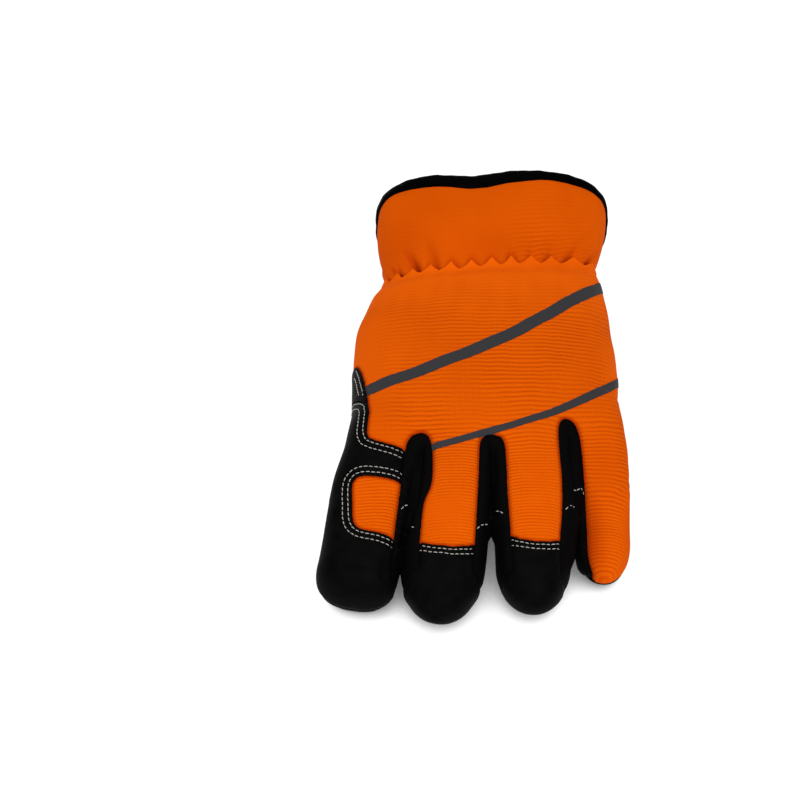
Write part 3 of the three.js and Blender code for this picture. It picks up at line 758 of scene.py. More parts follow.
def creaseDepths(level, along):
    # how deep the cuff's creases are at each point
    up = level - form["gatherY"] + gathers["zigzag"]
    total = np.zeros(len(level))
    for place, start, slant, reach, depth in zip(foldPlace, foldStart, foldSlant, foldReach, foldDepth):
        aside = (along - place + gathers["around"] / 2) % gathers["around"] - gathers["around"] / 2
        # the way round runs against X across the back
        aside = -aside - start - slant * up
        width = gathers["creaseWidth"] * (1 + gathers["creaseWidening"] * np.maximum(up, 0))
        beside = (np.abs(aside) - gathers["shoulderAt"] * width) / width
        groove = np.exp(-((aside / width) ** 2)) - gathers["shoulder"] * np.exp(-(beside**2))
        fade = smoothStep(up, -gathers["creaseFade"], gathers["creaseFade"])
        total += depth * groove * np.exp(-np.maximum(up, 0) / reach) * fade
    return total


# Places where the knit has painted light, where it is stretched with faint ribs, or where it has painted shade.
paintedLightShadeAndSmoothPlaces = table("x y reachX reachY light smooth shade", [
    (-54, 14, 18, 44, 0.6, 0.9, 0), (-24, 50, 26, 13, 0.2, 0.75, 0), (20, 58, 24, 7, 0.1, 0.5, 0),
    (-17, -72, 9, 8, 0.12, 0.85, 0), (14, -80, 12, 9, 0, 0.4, 0), (37.6, -74, 5.2, 17, 0, 0, 0.62),
    (5, -72, 3.5, 20, 0.3, 0, 0), (44, -48, 9, 14, 0, 0, 0.2), (52, 10, 5, 22, 0.7, 0, 0),
    (-38, 80, 12, 14, 0, 0, 0.25), (22, 74, 24, 9, 0, 0, 0.17),
])
cuffRibs = {"smooth": 0.9, "ribbed": 0.5, "place": (25, 77, 15, 12)}


def softPatch(points, x, y, reachX, reachY):
    # 1 at a place on the plan, fading to 0 round it
    return np.exp(-(((points[:, 0] - x) / reachX) ** 2) - ((points[:, 1] - y) / reachY) ** 2)


def paintedLightShadeAndSmooth(points, gathered, onCuffSide):
    # painted light, painted shade and how smooth the knit's ribs are at each point
    light = np.zeros(len(points))
    smooth = np.zeros(len(points))
    shade = np.zeros(len(points))
    for x, y, reachX, reachY, lighter, smoother, darker in zip(*paintedLightShadeAndSmoothPlaces.values()):
        share = softPatch(points, x, y, reachX, reachY)
        light = np.maximum(light, lighter * share)
        smooth = np.maximum(smooth, smoother * share)
        shade = np.maximum(shade, darker * share)
    if gathered:
        away, wave, along, level = fromElastic(points)
        # on the cuff: painted shade along the elastic line, stronger at the lobes, and in the creases
        if onCuffSide:
            waved = gathers["lineEven"] - gathers["lineWaved"] * wave
            line = np.exp(-np.maximum(away, 0) / gathers["lineReach"]) * waved
            deep = np.maximum(creaseDepths(level, along), 0)
            shade = np.maximum(shade, gathers["lineShade"] * line + gathers["creaseShade"] * deep)
        else:
            # on the hand: painted light on the cloth below the line, with painted shade between the teeth
            away = np.maximum(-away, 0)
            teeth = 1 - gathers["teethShade"] * (0.5 - 0.5 * wave) * np.exp(-away / gathers["ridgeReach"])
            lit = gathers["handLight"] * np.exp(-((away / gathers["lightReach"]) ** 2)) * teeth
            light = np.maximum(light, lit)
            smooth = np.maximum(smooth, gathers["handSmooth"] * np.exp(-away / gathers["smoothReach"]))
    if onCuffSide:
        ribbed = softPatch(points, *cuffRibs["place"])
        smooth = np.maximum(smooth, cuffRibs["smooth"] - cuffRibs["ribbed"] * ribbed)
    return np.stack([light, np.clip(shade, 0, 1), smooth], 1)


# Knit coordinates: rows counted along the glove's back and round its sides, both in millimetres.
knitRows = {
    "centreX": 1,
    "bend": (6, 30),       # where the columns turn down the sides
    "coarser": 0.47,       # the hand's rows are drawn at twice their real pitch, too fine for the picture
    "coarserFrom": -50,
    "coarserOver": 14,
    "sweep": 0.8,          # the rows sweep back towards the cuff as they go over the sides of the hand
    "sweepReach": 20,
    "sweepIn": (-66, -36),
    "lowestTop": 20,
}
knitY = np.linspace(-120, 120, 961)
middleRows = fingerRows(fingerPlan["middle"])
knitTop = np.maximum(
    np.interp(knitY, handRows["y"], handRows["top"], left=0),
    np.interp(-knitY, -middleRows["y"], middleRows["z"] + middleRows["halfHeight"], left=0,
              right=knitRows["lowestTop"]),
)
coarserShare = np.clip((knitY[1:] - knitRows["coarserFrom"]) / knitRows["coarserOver"], 0, 1)
knitSteps = np.hypot(np.diff(knitY), np.diff(knitTop)) * (1 - knitRows["coarser"] * coarserShare)
knitLength = np.concatenate([[0], np.cumsum(knitSteps)])


def knitPlace(points):
    _, level, _, _ = handField(points)
    across = points[:, 0] - knitRows["centreX"]
    drop = np.maximum(np.interp(level, knitY, knitTop) - points[:, 2], 0)
    swept = knitRows["sweep"] * knitRows["sweepReach"] * (1 - np.exp(-drop / knitRows["sweepReach"]))
    level = level - swept * smoothStep(level, *knitRows["sweepIn"])
    return np.stack([across + np.sign(across) * drop * smoothStep(np.abs(across), *knitRows["bend"]),
                     np.interp(level, knitY, knitLength), points[:, 2]], 1)


def panelRelief(sheet, faces, lift, turns):
    # one piece's points, faces and heights over the surface, with its seams turned in
    used, local = np.unique(faces, return_inverse=True)
    local = local.reshape(faces.shape)
    points = sheet["points"][used]
    edges = borderEdges(faces)
    bits = sheet["lines"][edges[:, 0]] & sheet["lines"][edges[:, 1]]
    height = np.full(len(points), float(lift))
    seam = np.full(len(points), seamReach)
    distances = {}
    for line, (depth, width) in turns.items():
        which = edges[(bits & lineBit[line]) > 0]
        distance = borderDistance(points, sheet["points"], which)
        distances[line] = distance
        height -= depth * np.exp(-((distance / width) ** 2))
        if line != "gather":
            seam = np.minimum(seam, distance)
    return {"used": used, "faces": local, "points": points, "height": height, "seam": seam,
            "lines": distances}


def shellMesh(name, outer, normals, faces, thickness, layers=None):
    # a closed shell: the outside, the same points one thickness in, and a wall round every edge
    count = len(outer)
    inner = outer - normals * thickness
    edges = borderEdges(faces)
    wall = np.stack([edges[:, 0], edges[:, 0] + count, edges[:, 1] + count, edges[:, 1]], 1)
    wallFaces = np.concatenate([wall[:, [0, 1, 2]], wall[:, [0, 2, 3]]])
    allFaces = np.concatenate([faces, faces[:, ::-1] + count, wallFaces])
    doubled = {key: np.concatenate([values, values]) for key, values in (layers or {}).items()}
    return newPiece(name, np.concatenate([outer, inner]), allFaces, doubled)


def newPiece(name, points, faces, layers=None, sharpAngle=50):
    mesh = bpy.data.meshes.new(name)
    sides = np.array(faces).shape[1]
    mesh.vertices.add(len(points))
    mesh.vertices.foreach_set("co", toScene(points).astype(np.float32).ravel())
    mesh.loops.add(len(faces) * sides)
    mesh.loops.foreach_set("vertex_index", np.array(faces, np.int32).ravel())
    mesh.polygons.add(len(faces))
    mesh.polygons.foreach_set("loop_start", np.arange(0, len(faces) * sides, sides, dtype=np.int32))
    mesh.update(calc_edges=True)
    mesh.validate()
    mesh.shade_smooth()
    mesh.set_sharp_from_angle(angle=math.radians(sharpAngle))
    for key, values in (layers or {}).items():
        kind, field = ("FLOAT_VECTOR", "vector") if np.ndim(values) == 2 else ("FLOAT", "value")
        data = mesh.attributes.new(key, kind, "POINT").data
        data.foreach_set(field, np.asarray(values, np.float32).ravel())
    piece = bpy.data.objects.new(name, mesh)
    bpy.context.scene.collection.objects.link(piece)
    return piece


def linearColour(hexColour):
    parts = [int(hexColour[k:k + 2], 16) / 255 for k in (1, 3, 5)]
    return (*[c / 12.92 if c <= 0.04045 else ((c + 0.055) / 1.055) ** 2.4 for c in parts], 1.0)


def addNode(tree, kind, inputs=None, **settings):
    node = tree.nodes.new("ShaderNode" + kind)
    for key, value in settings.items():
        setattr(node, key, value)
    for key, value in (inputs or {}).items():
        if isinstance(value, bpy.types.NodeSocket):
            tree.links.new(value, node.inputs[key])
        else:
            node.inputs[key].default_value = value
    return node


def newMaterial(name, settings):
    material = bpy.data.materials.new(name)
    material.use_nodes = True
    tree = material.node_tree
    tree.nodes.clear()
    shader = addNode(tree, "BsdfPrincipled", settings)
    tree.links.new(shader.outputs[0], addNode(tree, "OutputMaterial").inputs[0])
    return material, tree, shader


def mathNode(tree, operation, *values, **settings):
    return addNode(tree, "Math", dict(enumerate(values)), operation=operation, **settings).outputs[0]


def rangeNode(tree, value, low, high, toLow=0.0, toHigh=1.0, **settings):
    inputs = {"Value": value, "From Min": low, "From Max": high, "To Min": toLow, "To Max": toHigh}
    return addNode(tree, "MapRange", inputs, **settings).outputs[0]


def layerNode(tree, name, output="Vector"):
    return addNode(tree, "Attribute", attribute_name=name).outputs[output]


def mixedColours(tree, factor, first, second):
    # between two colours, each a hex value or another node's output
    first, second = (linearColour(one) if isinstance(one, str) else one for one in (first, second))
    inputs = {"Factor": factor, "A": first, "B": second}
    return addNode(tree, "Mix", inputs, data_type="RGBA").outputs["Result"]


def paint(tree, shader, colour):
    tree.links.new(colour, shader.inputs["Base Color"])


def emboss(tree, shader, height, depth, strength):
    # relief in the shading, depth in mm
    bump = addNode(tree, "Bump", {"Height": height, "Distance": depth * millimetre, "Strength": strength})
    tree.links.new(bump.outputs[0], shader.inputs["Normal"])


def waveNodes(tree, value, pitch):
    # a sine of one coordinate, from 0 to 1, that repeats every pitch in mm
    turned = mathNode(tree, "MULTIPLY", value, 2 * math.pi / pitch)
    return rangeNode(tree, mathNode(tree, "SINE", turned), -1.0, 1.0)


def noiseNodes(tree, size, detail=3.0, vector=None, roughness=0.55):
    # noise whose largest spots are about size mm across
    if vector is None:
        vector = addNode(tree, "TexCoord").outputs["Object"]
        size = size * millimetre
    inputs = {"Vector": vector, "Scale": 1 / size, "Detail": detail, "Roughness": roughness}
    return addNode(tree, "TexNoise", inputs).outputs["Fac"]


knit = {
    "ridge": "#ec6002",
    # colour of the knit's low places, rib valleys and gaps between loops: partly the weave, partly painted
    # shade
    "valley": "#b03000",
    "light": "#fb6706",    # painted light on the stretched cloth
    "seamShade": "#a52700",
    "ribPitch": 1.25,      # one rib across the fingers, drawn at its real size
    "ribCurve": 0.55,      # below 1 for broad ridges and narrow valleys
    "ribHeight": 0.16,
    "plainLevel": 0.66,
    "stitchPitch": 0.95,   # columns of loops, drawn twice as coarse as real
    "stitchHeight": 0.22,
    "grain": 0.55,
    "fuzz": 0.25,
    "drift": 0.9,          # how far the ribs wander, and over what length
    "driftSize": 9.0,
    "clear": (0.36, 0.58, 0.3, 1.0),
    "clearSize": 24.0,
    "tones": (0.1, 1.1, 0.25, 1.0),
    "patches": 0.08,
    "patchSize": 26.0,
    "seamShadeWidth": 1.7,
    "seamShadeStrength": 0.85,
}


def ribbedKnit(name, settings):
    # ribbed polyester and elastane knit: matt, with fine ridges across, painted light where it is stretched,
    # and painted shade by seams, in creases and in the rib valleys
    material, tree, shader = newMaterial(name, {
        "Roughness": 0.92, "IOR": 1.45, "Specular IOR Level": 0.02,
        "Sheen Weight": 0.01, "Sheen Roughness": 0.6, "Sheen Tint": linearColour("#ff7a20"),
    })
    place = layerNode(tree, "knit")
    split = addNode(tree, "SeparateXYZ", {0: place}).outputs
    tones = addNode(tree, "SeparateXYZ", {0: layerNode(tree, "tone")}).outputs
    drift = noiseNodes(tree, settings["driftSize"], 1.0, place)
    drifted = mathNode(tree, "MULTIPLY_ADD", drift, settings["drift"], split["Y"])
    rib = mathNode(tree, "POWER", waveNodes(tree, drifted, settings["ribPitch"]), settings["ribCurve"])
    column = waveNodes(tree, split["X"], settings["stitchPitch"])
    clear = rangeNode(tree, noiseNodes(tree, settings["clearSize"], 2.0, place), *settings["clear"])
    plain = mathNode(tree, "SUBTRACT", 1.0, tones["Z"])
    shown = mathNode(tree, "MULTIPLY", clear, plain)
    faded = addNode(tree, "Mix", {"Factor": shown, "A": settings["plainLevel"], "B": rib}, data_type="FLOAT")
    dots = mathNode(tree, "MULTIPLY", column, plain)
    loops = mathNode(tree, "MULTIPLY_ADD", dots, settings["stitchHeight"], faded.outputs[0])
    grain = noiseNodes(tree, settings["grain"], 2.0, place)
    height = mathNode(tree, "MULTIPLY_ADD", grain, settings["fuzz"], loops)
    patches = noiseNodes(tree, settings["patchSize"], 2.0, place)
    lit = rangeNode(tree, patches, 0.3, 0.7, -settings["patches"], settings["patches"])
    tone = mathNode(tree, "ADD", rangeNode(tree, height, *settings["tones"]), lit, use_clamp=True)
    # low places of the rib and loop pattern take the valley colour: the weave with painted shade in its valleys
    colour = mixedColours(tree, tone, settings["valley"], settings["ridge"])
    # painted light wherever the tone layer's first value asks for it
    lighter = mixedColours(tree, tones["X"], colour, settings["light"])
    # painted shade next to seams, and wherever the tone layer's second value asks for it
    seam = layerNode(tree, "seam", "Fac")
    near = rangeNode(tree, seam, 0.0, settings["seamShadeWidth"], settings["seamShadeStrength"], 0.0,
                     interpolation_type="SMOOTHSTEP")
    paintedShade = mathNode(tree, "MAXIMUM", near, tones["Y"])
    paint(tree, shader, mixedColours(tree, paintedShade, lighter, settings["seamShade"]))
    emboss(tree, shader, height, settings["ribHeight"], 0.8)
    return material


leather = {
    "dark": "#050404",
    "light": "#0c0b0b",
    "grain": 0.7,          # suede nap, drawn twice as coarse as real
    "mottle": 5.0,
    "napHeight": 0.07,
}


def syntheticSuede(name, settings):
    # brushed synthetic leather: near black, a dull nap, broad soft highlights where it turns to the light
    material, tree, shader = newMaterial(name, {
        "Roughness": 0.55, "IOR": 1.45, "Specular IOR Level": 0.022,
        "Sheen Weight": 0.002, "Sheen Roughness": 0.5, "Sheen Tint": linearColour("#9a9aa2"),
    })
    nap = noiseNodes(tree, settings["grain"], 3.0)
    both = mathNode(tree, "MULTIPLY_ADD", nap, 0.5, noiseNodes(tree, settings["mottle"], 3.0))
    tone = rangeNode(tree, both, 0.5, 1.0)
    paint(tree, shader, mixedColours(tree, tone, settings["dark"], settings["light"]))
    emboss(tree, shader, nap, settings["napHeight"], 1.0)
    return material


def closeWeave(name, settings, finish):
    # a close grid of loops or threads along the knit coordinates
    material, tree, shader = newMaterial(name, finish)
    split = addNode(tree, "SeparateXYZ", {0: layerNode(tree, "knit")}).outputs
    grid = mathNode(tree, "MULTIPLY", *[waveNodes(tree, split[axis], settings["pitch"]) for axis in "XY"])
    paint(tree, shader, mixedColours(tree, grid, settings["dark"], settings["light"]))
    emboss(tree, shader, grid, settings["height"], 0.8)
    return material


def plainGrain(name, settings, finish):
    # one colour with a fine irregular relief
    material, tree, shader = newMaterial(name, {"Base Color": linearColour(settings["colour"]), **finish})
    grain = noiseNodes(tree, settings["grain"], settings["detail"])
    emboss(tree, shader, grain, settings["height"], settings["strength"])
    return material


knitOrange = ribbedKnit("ribbedKnitOrange", knit)
suedeBlack = syntheticSuede("syntheticSuedeBlack", leather)
stretch = {"dark": "#040404", "light": "#0b0a0b", "pitch": 0.9, "height": 0.09}
# Fine black elastane knit: matt, a close grid of loops, softly sheened on its folds.
stretchBlack = closeWeave("stretchKnitBlack", stretch, {
    "Roughness": 0.6, "IOR": 1.45, "Specular IOR Level": 0.022,
    "Sheen Weight": 0.002, "Sheen Roughness": 0.45, "Sheen Tint": linearColour("#a0a0aa"),
})


def finishPiece(piece, material, slot, *nodes):
    piece.data.materials.append(material)
    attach(piece, "root")
    if nodes:
        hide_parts(*nodes)


# For each seam, how far and how wide a piece turns in there.
turned = (0.9, 1.3)
lapped = (0.25, 0.5)
under = (0.15, 0.8)
flush = (0, 1)
# How each cut piece sits: its name, cloth, lift over the glove's surface, thickness and seams.
piecePlan = {
    "cuff": ("cuff_knit", "knit", 0, 1.4, {"gather": flush, "rim": flush}),
    "back_panel": ("back_panel_knit", "knit", 0, 1.3, {
        "gather": flush, "palm": turned, "slots": turned, "middleTip": under, "ringTip": under, "web": under,
        "guard": under}),
    "index_knit_inset": ("index_inset_knit", "knit", 0, 1.3, {"slots": turned, "window": under}),
    "palm": ("palm_suede", "suede", 0, 1.4, {"gather": flush, "palm": (0.45, 1.1), "thumb": (0.2, 1)}),
    "index_guard": ("index_guard_suede", "suede", 0.55, 1.7, {
        "palm": (0.7, 1.0), "slots": (1.4, 1.2), "window": lapped, "guard": lapped, "web": lapped}),
    "thumb_web": ("thumb_web_suede", "suede", 0.65, 1.8, {"palm": (1.4, 1.0), "web": lapped}),
    "middle_tip": ("middle_tip_suede", "suede", 0.5, 1.7, {
        "palm": (0.6, 1.0), "slots": (1.2, 1.2), "middleTip": lapped}),
    "ring_tip": ("ring_tip_suede", "suede", 0.5, 1.7, {
        "palm": (0.6, 1.0), "slots": (1.2, 1.2), "ringTip": lapped}),
}
for slot in seams["slots"]:
    piecePlan[slot["name"]] = (slot["name"] + "_stretch", "stretch", 0, 1.2,
                               {"slots": turned, "palm": (0.4, 1.1)})
cloths = {"knit": (knitOrange, "knit_orange"), "suede": (suedeBlack, "leather_black"),
          "stretch": (stretchBlack, "stretch_black")}
slotCreases = {slot["name"]: slot["crease"] for slot in seams["slots"]}

print("marking the stripes")
# Centre lines across the glove and up its slanting view from the fingertips, with the widths seen there.
stripePlan = {
    "stripe_upper": table("x rise width", [
        (-52, 20.4, 3.6), (-46.2, 22.7, 3.7), (-38.7, 26, 4.1), (-28.9, 29.6, 4.3), (-17, 34.1, 4.4),
        (-5.1, 38.9, 4.5), (7, 44, 4.6), (19.3, 50.3, 4.6), (29.9, 56.2, 4.6), (38.7, 60.8, 4.6),
        (45.1, 63.6, 4.6), (50, 65.6, 4.6), (60, 69.7, 4.6),
    ]),
    "stripe_lower": table("x rise width", [
        (-25, -0.3, 2.5), (-20.9, 0.9, 2.5), (-13.6, 3, 2.5), (-5.9, 5.2, 2.5), (1.5, 7.2, 2.5),
        (8.5, 9.1, 2.5), (15.5, 11.2, 2.5), (23.4, 13.5, 2.6), (31.5, 16.7, 2.9), (39.6, 20.3, 3.2),
        (46.5, 23.1, 3.3), (50.5, 24.7, 3.3), (60, 28.6, 3.3),
    ]),
}
stripe = {"lift": 0.22, "thickness": 0.22, "steps": 6, "slant": math.radians(48)}


def stripeMeasure(plan):
    path = curved(np.stack([plan["x"], plan["rise"]], 1), steps=stripe["steps"])
    widths = curved(plan["width"][:, None], steps=stripe["steps"])[:, 0]

    def measure(points):
        # a slanting rise carries each stripe evenly from the back down the little-finger side
        rise = points[:, 1] * math.cos(stripe["slant"]) + points[:, 2] * math.sin(stripe["slant"])
        distance, share = segmentDistance(np.stack([points[:, 0], rise], 1), path, False)
        return distance - np.interp(share, np.arange(len(widths)), widths) / 2
    return measure


stripeFaces = {}
backFaces = cutFaces["back_panel"]
for name, plan in stripePlan.items():
    stripeFaces[name], rest = cutSheet(outside, backFaces, stripeMeasure(plan), lineBit["stripe"])
    backFaces = np.concatenate([stripeFaces[name], rest])
cutFaces["back_panel"] = backFaces

print("shaping the pieces")
surfaceNormals = normalized(slopeOf(bodyField, outside["points"])[1])
swell = clothSwell(outside["points"])
knitAt = knitPlace(outside["points"])
finalPoints = {}
for name, faces in cutFaces.items():
    pieceName, kind, lift, thickness, turns = piecePlan[name]
    material, slotName = cloths[kind]
    panel = panelRelief(outside, faces, lift, turns)
    points, used = panel["points"], panel["used"]
    height = panel["height"] + swell[used]
    if name in slotCreases:
        height = height + creaseRelief(points, slotCreases[name])
    if name in snugGaps:
        swellBy, rising, falling = snugGaps[name]
        within = smoothStep(-points[:, 1], *rising) * (1 - smoothStep(-points[:, 1], *falling))
        height = height + swellBy * within * surfaceNormals[used][:, 0] ** 2
    if kind == "suede":
        height = height + tipRelief(points)
    if "gather" in turns:
        height = height + gatherRelief(points, name == "cuff")
    raised = points + surfaceNormals[used] * height[:, None]
    raised[:, 2] = np.maximum(raised[:, 2], floorClearance)
    panel["raised"] = raised
    layers = {"seam": panel["seam"], "knit": knitAt[used]}
    if kind == "knit":
        # the tone layer carries painted light, painted shade and rib smoothness
        layers["tone"] = paintedLightShadeAndSmooth(points, "gather" in turns, name == "cuff")
    piece = shellMesh(pieceName, raised, surfaceNormals[used], panel["faces"], thickness, layers)
    finishPiece(piece, material, slotName, name)
    finalPoints[name] = panel
    print("  ", name, len(piece.data.polygons))


def stripeLayer(name, panel, faces):
    # the film lies on the knit and follows its folds
    lookup = np.full(len(outside["points"]), -1)
    lookup[panel["used"]] = np.arange(len(panel["used"]))
    used, local = np.unique(faces, return_inverse=True)
    points = panel["raised"][lookup[used]] + surfaceNormals[used] * stripe["lift"]
    return shellMesh(name, points, surfaceNormals[used], local.reshape(faces.shape), stripe["thickness"])


film = {"colour": "#3b3a3d", "grain": 2.2, "detail": 4.0, "height": 0.12, "strength": 0.6}
# Heat-pressed reflective film: dull grey from here and finely crackled.
filmGrey = plainGrain("reflectiveFilmGrey", film, {
    "Roughness": 0.6, "Metallic": 0.0, "Specular IOR Level": 0.03,
})
for name, faces in stripeFaces.items():
    piece = stripeLayer(name + "_film", finalPoints["back_panel"], faces)
    finishPiece(piece, filmGrey, "reflective_grey", name)

print("shaping the thumb")
for name, faces in (("thumb_back", thumbLower), ("thumb_front", thumbUpper)):
    panel = panelRelief(underside, faces, 0, {"palm": (0.6, 1.2), "thumb": flush})
    normals = normalized(slopeOf(thumbField, panel["points"])[1])
    raised = panel["points"] + normals * panel["height"][:, None]
    raised[:, 2] = np.maximum(raised[:, 2], floorClearance)
    piece = shellMesh(name + "_suede", raised, normals, panel["faces"], thumb["thickness"])
    finishPiece(piece, suedeBlack, "leather_black", name)

print("folding the binding over the rim")
binding = {
    "stations": 240,
    "toY": 114.2,
    "outer": 1.1,         # over the cuff's outside
    "inner": 3.0,         # and inside it
    "plump": 0.35,
    "sides": 26,
    "flatAcross": 0.6,    # lower is squarer
    "flatUp": 0.75,
    "puckers": 0.08,
    "puckerCounts": (23, 41),
    "floorGap": 0.1,
}
bindingEdge = table("x y", [
    (-44, 110), (-39, 109.8), (-33, 108.8), (-24, 107.8), (-14, 107), (-6, 105.4), (2, 105.4), (9, 107.2),
    (18, 108.6), (27, 109.7), (36, 110.2), (43, 110.8), (52, 111.4),
])
rimSearch = {"x": 4.0, "z": 25.0, "reach": 36.0, "rounds": 40, "ease": 0.8}


def ringAt(y, count):
    # the cuff's outline at one distance along the glove, evenly spaced
    centre = np.array([rimSearch["x"], rimSearch["z"]])
    turns = np.linspace(0, 2 * math.pi, 4 * count, endpoint=False)
    ways = np.stack([np.cos(turns), np.sin(turns)], 1)
    reach = np.full(len(turns), rimSearch["reach"])
    for _ in range(rimSearch["rounds"]):
        spots = centre + ways * reach[:, None]
        points = np.stack([spots[:, 0], np.full(len(turns), y), spots[:, 1]], 1)
        reach -= rimSearch["ease"] * bodyField(points)
    points = np.concatenate([points, points[:1]])
    run = np.concatenate([[0], np.cumsum(np.linalg.norm(np.diff(points, axis=0), axis=1))])
    at = np.linspace(0, run[-1], count, endpoint=False)
    return np.stack([np.interp(at, run, points[:, k]) for k in range(3)], 1), run[-1]


def tubeFaces(rings, sides):
    # four-sided faces of a closed ring of closed profiles
    i, j = np.meshgrid(np.arange(rings), np.arange(sides), indexing="ij")
    a, b = i * sides + j, i * sides + (j + 1) % sides
    c, d = (i + 1) % rings * sides + (j + 1) % sides, (i + 1) % rings * sides + j
    return np.stack([a, b, c, d], -1).reshape(-1, 4)


def bindingMesh():
    rim, around = ringAt(form["rimY"], binding["stations"])
    normal = slopeOf(bodyField, rim)[1]
    normal[:, 1] = 0
    normal = normalized(normal)
    fromY = np.interp(rim[:, 0], bindingEdge["x"], bindingEdge["y"])
    middleY = (fromY + binding["toY"]) / 2
    half = (binding["toY"] - fromY) / 2
    turns = np.linspace(0, 2 * math.pi, binding["sides"], endpoint=False)
    outerHalf = (binding["outer"] + binding["inner"]) / 2
    outerMiddle = (binding["outer"] - binding["inner"]) / 2
    profile = np.stack([
        np.sign(np.cos(turns)) * np.abs(np.cos(turns)) ** binding["flatAcross"],
        outerMiddle + outerHalf * np.sign(np.sin(turns)) * np.abs(np.sin(turns)) ** binding["flatUp"],
    ], 1)
    at = np.arange(binding["stations"]) / binding["stations"] * 2 * math.pi
    fewer, more = binding["puckerCounts"]
    pucker = binding["puckers"] * (np.sin(fewer * at + 1) + 0.7 * np.sin(more * at))
    points = []
    for k in range(binding["stations"]):
        offset = profile[:, 1] + np.where(profile[:, 1] > 0, binding["plump"] + pucker[k], 0)
        ring = rim[k] + np.outer(offset, normal[k])
        ring[:, 1] = middleY[k] + half[k] * profile[:, 0] + 0.5 * pucker[k]
        points.append(ring)
    points = np.concatenate(points)
    points[:, 2] = np.maximum(points[:, 2], binding["floorGap"])
    faces = tubeFaces(binding["stations"], len(profile))
    along = np.repeat(np.arange(binding["stations"]) * around / binding["stations"], len(profile))
    layers = {"knit": np.stack([along, points[:, 1], points[:, 2]], 1)}
    return newPiece("cuff_binding_tape", points, faces[:, ::-1], layers, 60)


tape = {"dark": "#010102", "light": "#030405", "pitch": 0.7, "height": 0.1}
# Woven polyester binding: black, close weave, a cool sheen along its fold.
tapeBlack = closeWeave("wovenTapeBlack", tape, {
    "Roughness": 0.4, "Specular IOR Level": 0.01,
    "Sheen Weight": 0.001, "Sheen Roughness": 0.4, "Sheen Tint": linearColour("#8fa3c8"),
})
finishPiece(bindingMesh(), tapeBlack, "binding_black", "cuff_binding")

print("sewing")
stitch = {"pitch": 2.05, "length": 1.6, "radius": 0.19, "arch": 0.16, "sink": 0.04, "wander": 0.05,
          "rings": 6, "sides": 6}


def chainPaths(segments):
    # joins short segments that share a point into long paths
    links = {}
    for a, b in segments:
        links.setdefault(a, []).append(b)
        links.setdefault(b, []).append(a)
    ends = [k for k, v in links.items() if len(v) == 1]
    seen = set()
    paths = []
    for start in ends + list(links):
        if start in seen:
            continue
        path = [start]
        seen.add(start)
        while True:
            onward = [k for k in links[path[-1]] if k not in seen]
            if not onward:
                break
            path.append(onward[0])
            seen.add(onward[0])
        if len(path) > 2:
            paths.append(path)
    return paths


def levelPaths(panel, values, level):
    # lines along which a value of a panel's points equals the level
    faces = panel["faces"]
    over = values[faces] > level
    mixed = faces[over.any(1) & ~over.all(1)]
    crossings = {}
    points = []
    segments = []
    for face in mixed:
        ends = []
        for a, b in ((face[0], face[1]), (face[1], face[2]), (face[2], face[0])):
            if (values[a] > level) != (values[b] > level):
                key = (min(a, b), max(a, b))
                if key not in crossings:
                    share = (level - values[key[0]]) / (values[key[1]] - values[key[0]])
                    crossings[key] = len(points)
                    points.append(panel["raised"][key[0]] * (1 - share) + panel["raised"][key[1]] * share)
                ends.append(crossings[key])
        segments.append(ends)
    points = np.array(points)
    return [points[path] for path in chainPaths(segments)]


def smoothed(path, rounds=6):
    path = path.copy()
    for _ in range(rounds):
        path[1:-1] = (path[:-2] + 2 * path[1:-1] + path[2:]) / 4
    return path


def stitchRow(path, trim=0.0):
    # starts and ends of the stitches along a path
    run = np.concatenate([[0], np.cumsum(np.linalg.norm(np.diff(path, axis=0), axis=1))])
    length = run[-1] - 2 * trim
    count = int(length // stitch["pitch"])
    if count < 1:
        return np.zeros((0, 3)), np.zeros((0, 3))
    first = trim + (length - count * stitch["pitch"]) / 2
    at = first + np.arange(count) * stitch["pitch"]
    ends = at + stitch["length"]
    return (np.stack([np.interp(at, run, path[:, k]) for k in range(3)], 1),
            np.stack([np.interp(ends, run, path[:, k]) for k in range(3)], 1))


def stitchPiece(name, starts, ends, seed):
    # one rounded thread for each stitch, arched a little and sunk at both ends
    rings, sides = stitch["rings"], stitch["sides"]
    count = len(starts)
    random = np.random.default_rng(seed)
    starts = starts + random.normal(size=starts.shape) * stitch["wander"]
    ends = ends + random.normal(size=ends.shape) * stitch["wander"]
    ways = normalized(ends - starts)
    up = normalized(slopeOf(bodyField, (starts + ends) / 2)[1])
    side = normalized(np.cross(up, ways))
    up = np.cross(ways, side)
    t = np.linspace(0, 1, rings)
    thick = stitch["radius"] * (0.25 + 0.75 * np.sqrt(np.clip(1 - (2 * t - 1) ** 4, 0, 1)))
    arch = stitch["arch"] * (1 - (2 * t - 1) ** 2) - stitch["sink"]
    middle = starts[:, None] + (ends - starts)[:, None] * t[:, None] + up[:, None] * arch[:, None]
    turns = np.linspace(0, 2 * math.pi, sides, endpoint=False)
    spokes = side[:, None] * np.cos(turns)[:, None] + up[:, None] * np.sin(turns)[:, None]
    points = middle[:, :, None] + spokes[:, None] * thick[:, None, None]
    i, j = (grid.ravel() for grid in np.meshgrid(np.arange(rings - 1), np.arange(sides), indexing="ij"))
    a, b = i * sides + j, i * sides + (j + 1) % sides
    c, d = b + sides, a + sides
    fan = np.arange(1, sides - 1)
    last = (rings - 1) * sides
    zero = np.zeros_like(fan)
    one = np.concatenate([np.stack([a, b, c], 1), np.stack([a, c, d], 1), np.stack([zero, fan + 1, fan], 1),
                          np.stack([zero + last, fan + last, fan + 1 + last], 1)])
    faces = (np.arange(count)[:, None, None] * rings * sides + one).reshape(-1, 3)
    return newPiece(name, points.reshape(-1, 3), faces, None, 80)


thread = {"colour": "#b9b6b0", "grain": 0.35, "detail": 2.0, "height": 0.05, "strength": 0.7}
